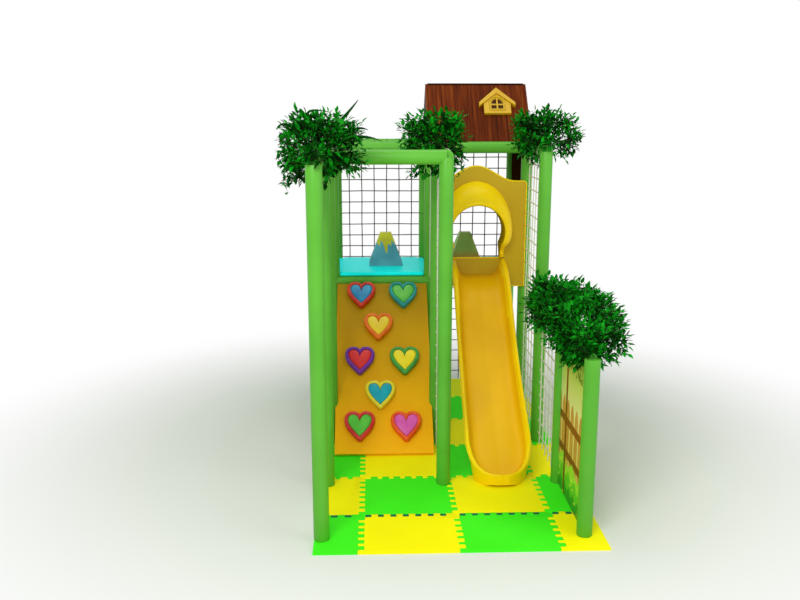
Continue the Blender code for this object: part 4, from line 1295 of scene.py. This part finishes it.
def surface_spots(name, count, rng):
    """Places spread evenly over a frame piece's sides and top, each with its outward direction."""
    piece = nodes[name]
    place = piece.matrix_world
    turn = place.to_3x3()
    piece.data.calc_loop_triangles()
    table = []
    total = 0.0
    for face in piece.data.loop_triangles:
        normal = (turn @ face.normal).normalized()
        if normal.z < -0.75:
            continue
        corners = [place @ piece.data.vertices[k].co for k in face.vertices]
        total += (corners[1] - corners[0]).cross(corners[2] - corners[0]).length / 2
        table.append((total, corners, normal))
    spots = []
    for _ in range(count):
        pick = rng.random() * total
        corners, normal = next((c, n) for level, c, n in table if level >= pick)
        u, v = rng.random(), rng.random()
        if u + v > 1:
            u, v = 1 - u, 1 - v
        spots.append((corners[0] + (corners[1] - corners[0]) * u + (corners[2] - corners[0]) * v, normal))
    return spots


def bent(start, middle, end, steps):
    """A path that leaves start towards middle and bends to end."""
    shares = [k / steps for k in range(steps + 1)]
    return [start * (1 - t) ** 2 + middle * 2 * t * (1 - t) + end * t * t for t in shares]


def blade(points, faces, path):
    """A long blade of grass, folded along its middle and pointed at its end."""
    last = len(path) - 1
    for k, place in enumerate(path):
        wide = 0.0085 * (1 - (k / last) ** 2) + 0.0014
        run = path[min(k + 1, last)] - path[max(k - 1, 0)]
        edge = run.cross(Y).normalized() * wide
        a = len(points)
        points += [place - edge, place - Y * wide * 0.5, place + edge]
        if k:
            faces += [(a - 3, a - 2, a + 1, a), (a - 2, a - 1, a + 2, a + 1)]


def shrub(name, posts, height, count, seed, drop, loose, blades=(), stretch=1.0, sag=0.0):
    """Sprigs of small leaves all over the solid's outside and in loose boxes, on twigs from the rail."""
    rng = random.Random(seed)
    points = []
    faces = []
    picks = []
    wood = Tubes()
    start, end = (spot(post, height) for post in posts)
    line = end - start
    spots = surface_spots(name, count, rng)
    middle_y = sum(place.y for place, _ in spots) / len(spots)
    for place, _ in spots:
        place.y = middle_y + (place.y - middle_y) * stretch
        place.z -= drop + sag * max(0.0, -0.95 - place.y)
    for low, high, number in loose:
        for _ in range(number):
            place = Vector(rng.uniform(a, b) for a, b in zip(low, high))
            spots.append((place, Vector((rng.gauss(0, 1), rng.gauss(0, 1), rng.gauss(0, 1))).normalized()))
    for place, normal in spots:
        depth = abs(rng.gauss(0.0, 0.034)) - 0.014
        if rng.random() < 0.10:
            depth = -rng.uniform(0.018, 0.036)
        tip = place - normal * depth
        share = min(max((place - start).dot(line) / line.length_squared, 0.02), 0.98)
        root = start + line * share
        root += Vector((rng.uniform(-0.02, 0.02), rng.uniform(-0.08, 0.08), SLEEVE))
        lean = Vector((rng.gauss(0, 0.35), rng.gauss(0, 0.35), rng.gauss(0.1, 0.3)))
        growth = ((tip - root).normalized() + normal * 0.4 + lean).normalized()
        base = tip - growth * rng.uniform(0.085, 0.135)
        wood.add(bent(base, (base + tip) / 2 + Z * 0.006, tip, 3), 0.0011, 3, per_metre=10)
        if rng.random() < 0.16:
            wood.add(bent(root, root.lerp(base, 0.5) + Z * 0.02, base, 5), 0.0022, 4, per_metre=10)
        side = growth.orthogonal().normalized()
        turn = Matrix.Rotation(2.4, 3, growth)
        side.rotate(Matrix.Rotation(rng.uniform(0, 6.28), 3, growth))
        tone = LIGHTER if depth < 0.012 and rng.random() < 0.45 else 0
        # Leaves deep inside a shrub take the dark green as painted shade
        tone = INNER_SHADE if depth > 0.016 else tone
        for k in range(LEVELS + 1):
            t = k / LEVELS
            foot = base.lerp(tip, 0.12 + 0.88 * t) + Z * 0.012 * t * (1 - t)
            side.rotate(turn)
            lead = growth if k == LEVELS else (growth * rng.uniform(0.35, 0.75) + side).normalized()
            lift = Vector((rng.uniform(-0.4, 0.4), rng.uniform(-0.4, 0.4), 1.0))
            if abs(lead.dot(lift.normalized())) > 0.96:
                lift = side
            size = rng.uniform(0.042, 0.066) * (1 - 0.2 * t)
            wide = size * rng.uniform(0.46, 0.58)
            if cad_box[0][0] - PROUD < (foot + lead * size).x < cad_box[1][0] + PROUD:
                leaf_shape(points, faces, foot, lead, lift, size, wide)
                picks += [tone] * len(LEAF_FACES)
    for bend in blades:
        blade(points, faces, bent(*map(Vector, bend), 10))
    picks += [BLADE] * (len(faces) - len(picks))
    looks = (leaf, lighter_leaf, blade_look, shaded_leaf)
    made = add_piece(name + "_leaves", points, faces, looks, picks, replaces=name, smooth=70)
    wood.piece(name + "_twigs", bark)


# Start, middle and end of each blade
LEFT_BLADES = (
    ((-0.80, -1.28, 2.42), (-0.93, -1.30, 2.58), (-0.72, -1.30, 2.53)),
    ((-0.70, -1.25, 2.44), (-0.60, -1.28, 2.54), (-0.555, -1.30, 2.60)),
    ((-0.66, -1.25, 2.40), (-0.56, -1.28, 2.46), (-0.50, -1.30, 2.43)),
    ((-0.66, -1.25, 2.36), (-0.54, -1.28, 2.42), (-0.42, -1.30, 2.365)),
    ((-0.90, -1.25, 2.42), (-1.00, -1.28, 2.50), (-1.03, -1.30, 2.43)),
)
# Loose sprigs: lowest and highest corner of a box, and how many are in it
LEFT_LOOSE = (
    ((-0.86, -1.50, 2.20), (-0.72, -1.34, 2.34), 26),
    ((-0.99, -1.45, 2.10), (-0.86, -1.25, 2.26), 16),
    ((-0.87, -1.66, 2.29), (-0.74, -1.58, 2.36), 14),
)
MIDDLE_LOOSE = (
    ((-0.02, -0.70, 2.10), (0.10, -0.40, 2.24), 12),
    ((-0.24, -0.60, 2.09), (-0.08, -0.35, 2.17), 8),
)
RIGHT_LOOSE = (((0.70, -0.06, 2.14), (0.90, 0.14, 2.36), 26),)
HEDGE_LOOSE = (
    ((0.68, -1.56, 1.02), (0.78, -1.10, 1.20), 60),
    ((0.70, -1.58, 1.14), (0.92, -1.40, 1.30), 40),
    ((0.72, -0.25, 1.10), (0.90, 0.00, 1.34), 40),
)
shrub("shrub_left", ("a1", "a3"), TOP, 340, 11, 0.040, LEFT_LOOSE, LEFT_BLADES)
shrub("shrub_middle", ("b2", "b4"), TOP, 250, 12, 0.030, MIDDLE_LOOSE)
shrub("shrub_right", ("c3", "c4"), TOP, 280, 13, 0.030, RIGHT_LOOSE)
shrub("hedge_right", ("c1", "c3"), LOW, 860, 14, 0.022, HEDGE_LOOSE, stretch=1.10, sag=0.10)


# Camera, light and floor

FOCAL = 881.42  # in pixels of the photo, which is 800 wide
PHOTO_WIDE = 800
SENSOR = 36


def make_camera():
    """The camera fitted to the photo."""
    made = assign(bpy.data.cameras.new("camera"), sensor_width=SENSOR, lens=FOCAL / PHOTO_WIDE * SENSOR)
    assign(made, shift_x=-2 / PHOTO_WIDE, shift_y=12 / PHOTO_WIDE, clip_end=100)
    eye = add_object("camera", made)
    assign(eye, location=(-0.4836, -6.5125, 2.5290), rotation_euler=(pi / 2 - 0.2227, 0, -0.0346))
    bpy.context.scene.camera = eye


def lamp(name, place, aim, size, power):
    made = bpy.data.lights.new(name, "AREA")
    assign(made, shape="RECTANGLE", size=size, size_y=size * 0.7, energy=power)
    turn = (Vector(aim) - Vector(place)).to_track_quat("-Z", "Y").to_euler()
    assign(add_object(name, made), location=place, rotation_euler=turn)


def make_floor(half=30, near=1.4, far=4.2):
    """A pale grey-green floor that fades to white between two distances from the object: painted shade round
    the object, a white backdrop further out.
    """
    look = Look("floor_paint", 0.7, specular=0.0).colour("DCE1D5")
    mesh = new_mesh("floor", (look,))
    corners = [(-half, -half, 0), (half, -half, 0), (half, half, 0), (-half, half, 0)]
    mesh.from_pydata(corners, [], [(0, 1, 2, 3)])
    made = add_object("floor", mesh)
    made.location.z = -0.0005
    squares = [look.math("POWER", look.plain(look.axis(letter)), 2.0) for letter in "XY"]
    fade = look.node("MapRange", From_Min=near, From_Max=far, Value=look.math("SQRT", look.plus(*squares)))
    fade.interpolation_type = "SMOOTHSTEP"
    glow = look.node("Emission", Color=(1, 1, 1, 1))
    blend = look.node("MixShader")
    for socket, source in zip(blend.inputs, (fade, look.shader, glow)):
        look.feed(socket, source.outputs[0])
    look.give(look.tree.nodes["Material Output"], Surface=blend.outputs[0])


def make_world():
    """White for the camera and in reflections, and a softer light on the object."""
    world = Nodes(bpy.data.worlds.new("studio"))
    bpy.context.scene.world = world.made
    ray = world.node("LightPath").outputs
    seen = world.largest(ray["Is Camera Ray"], ray["Is Glossy Ray"])
    level = world.node("MapRange", Value=seen, To_Min=0.55, To_Max=1.0)
    world.give(world.tree.nodes["Background"], Color=(1, 1, 1, 1), Strength=level.outputs[0])


make_camera()
make_floor()
make_world()
lamp("key", (-1.8, -5.8, 4.8), (0, -0.2, 0.9), 3.2, 235)
lamp("fill", (4.2, -4.0, 3.0), (0, 0, 1.0), 3.6, 70)
lamp("top", (0.0, 0.5, 6.0), (0, 0, 0), 4.0, 60)
bpy.context.scene.view_settings.view_transform = "Standard"
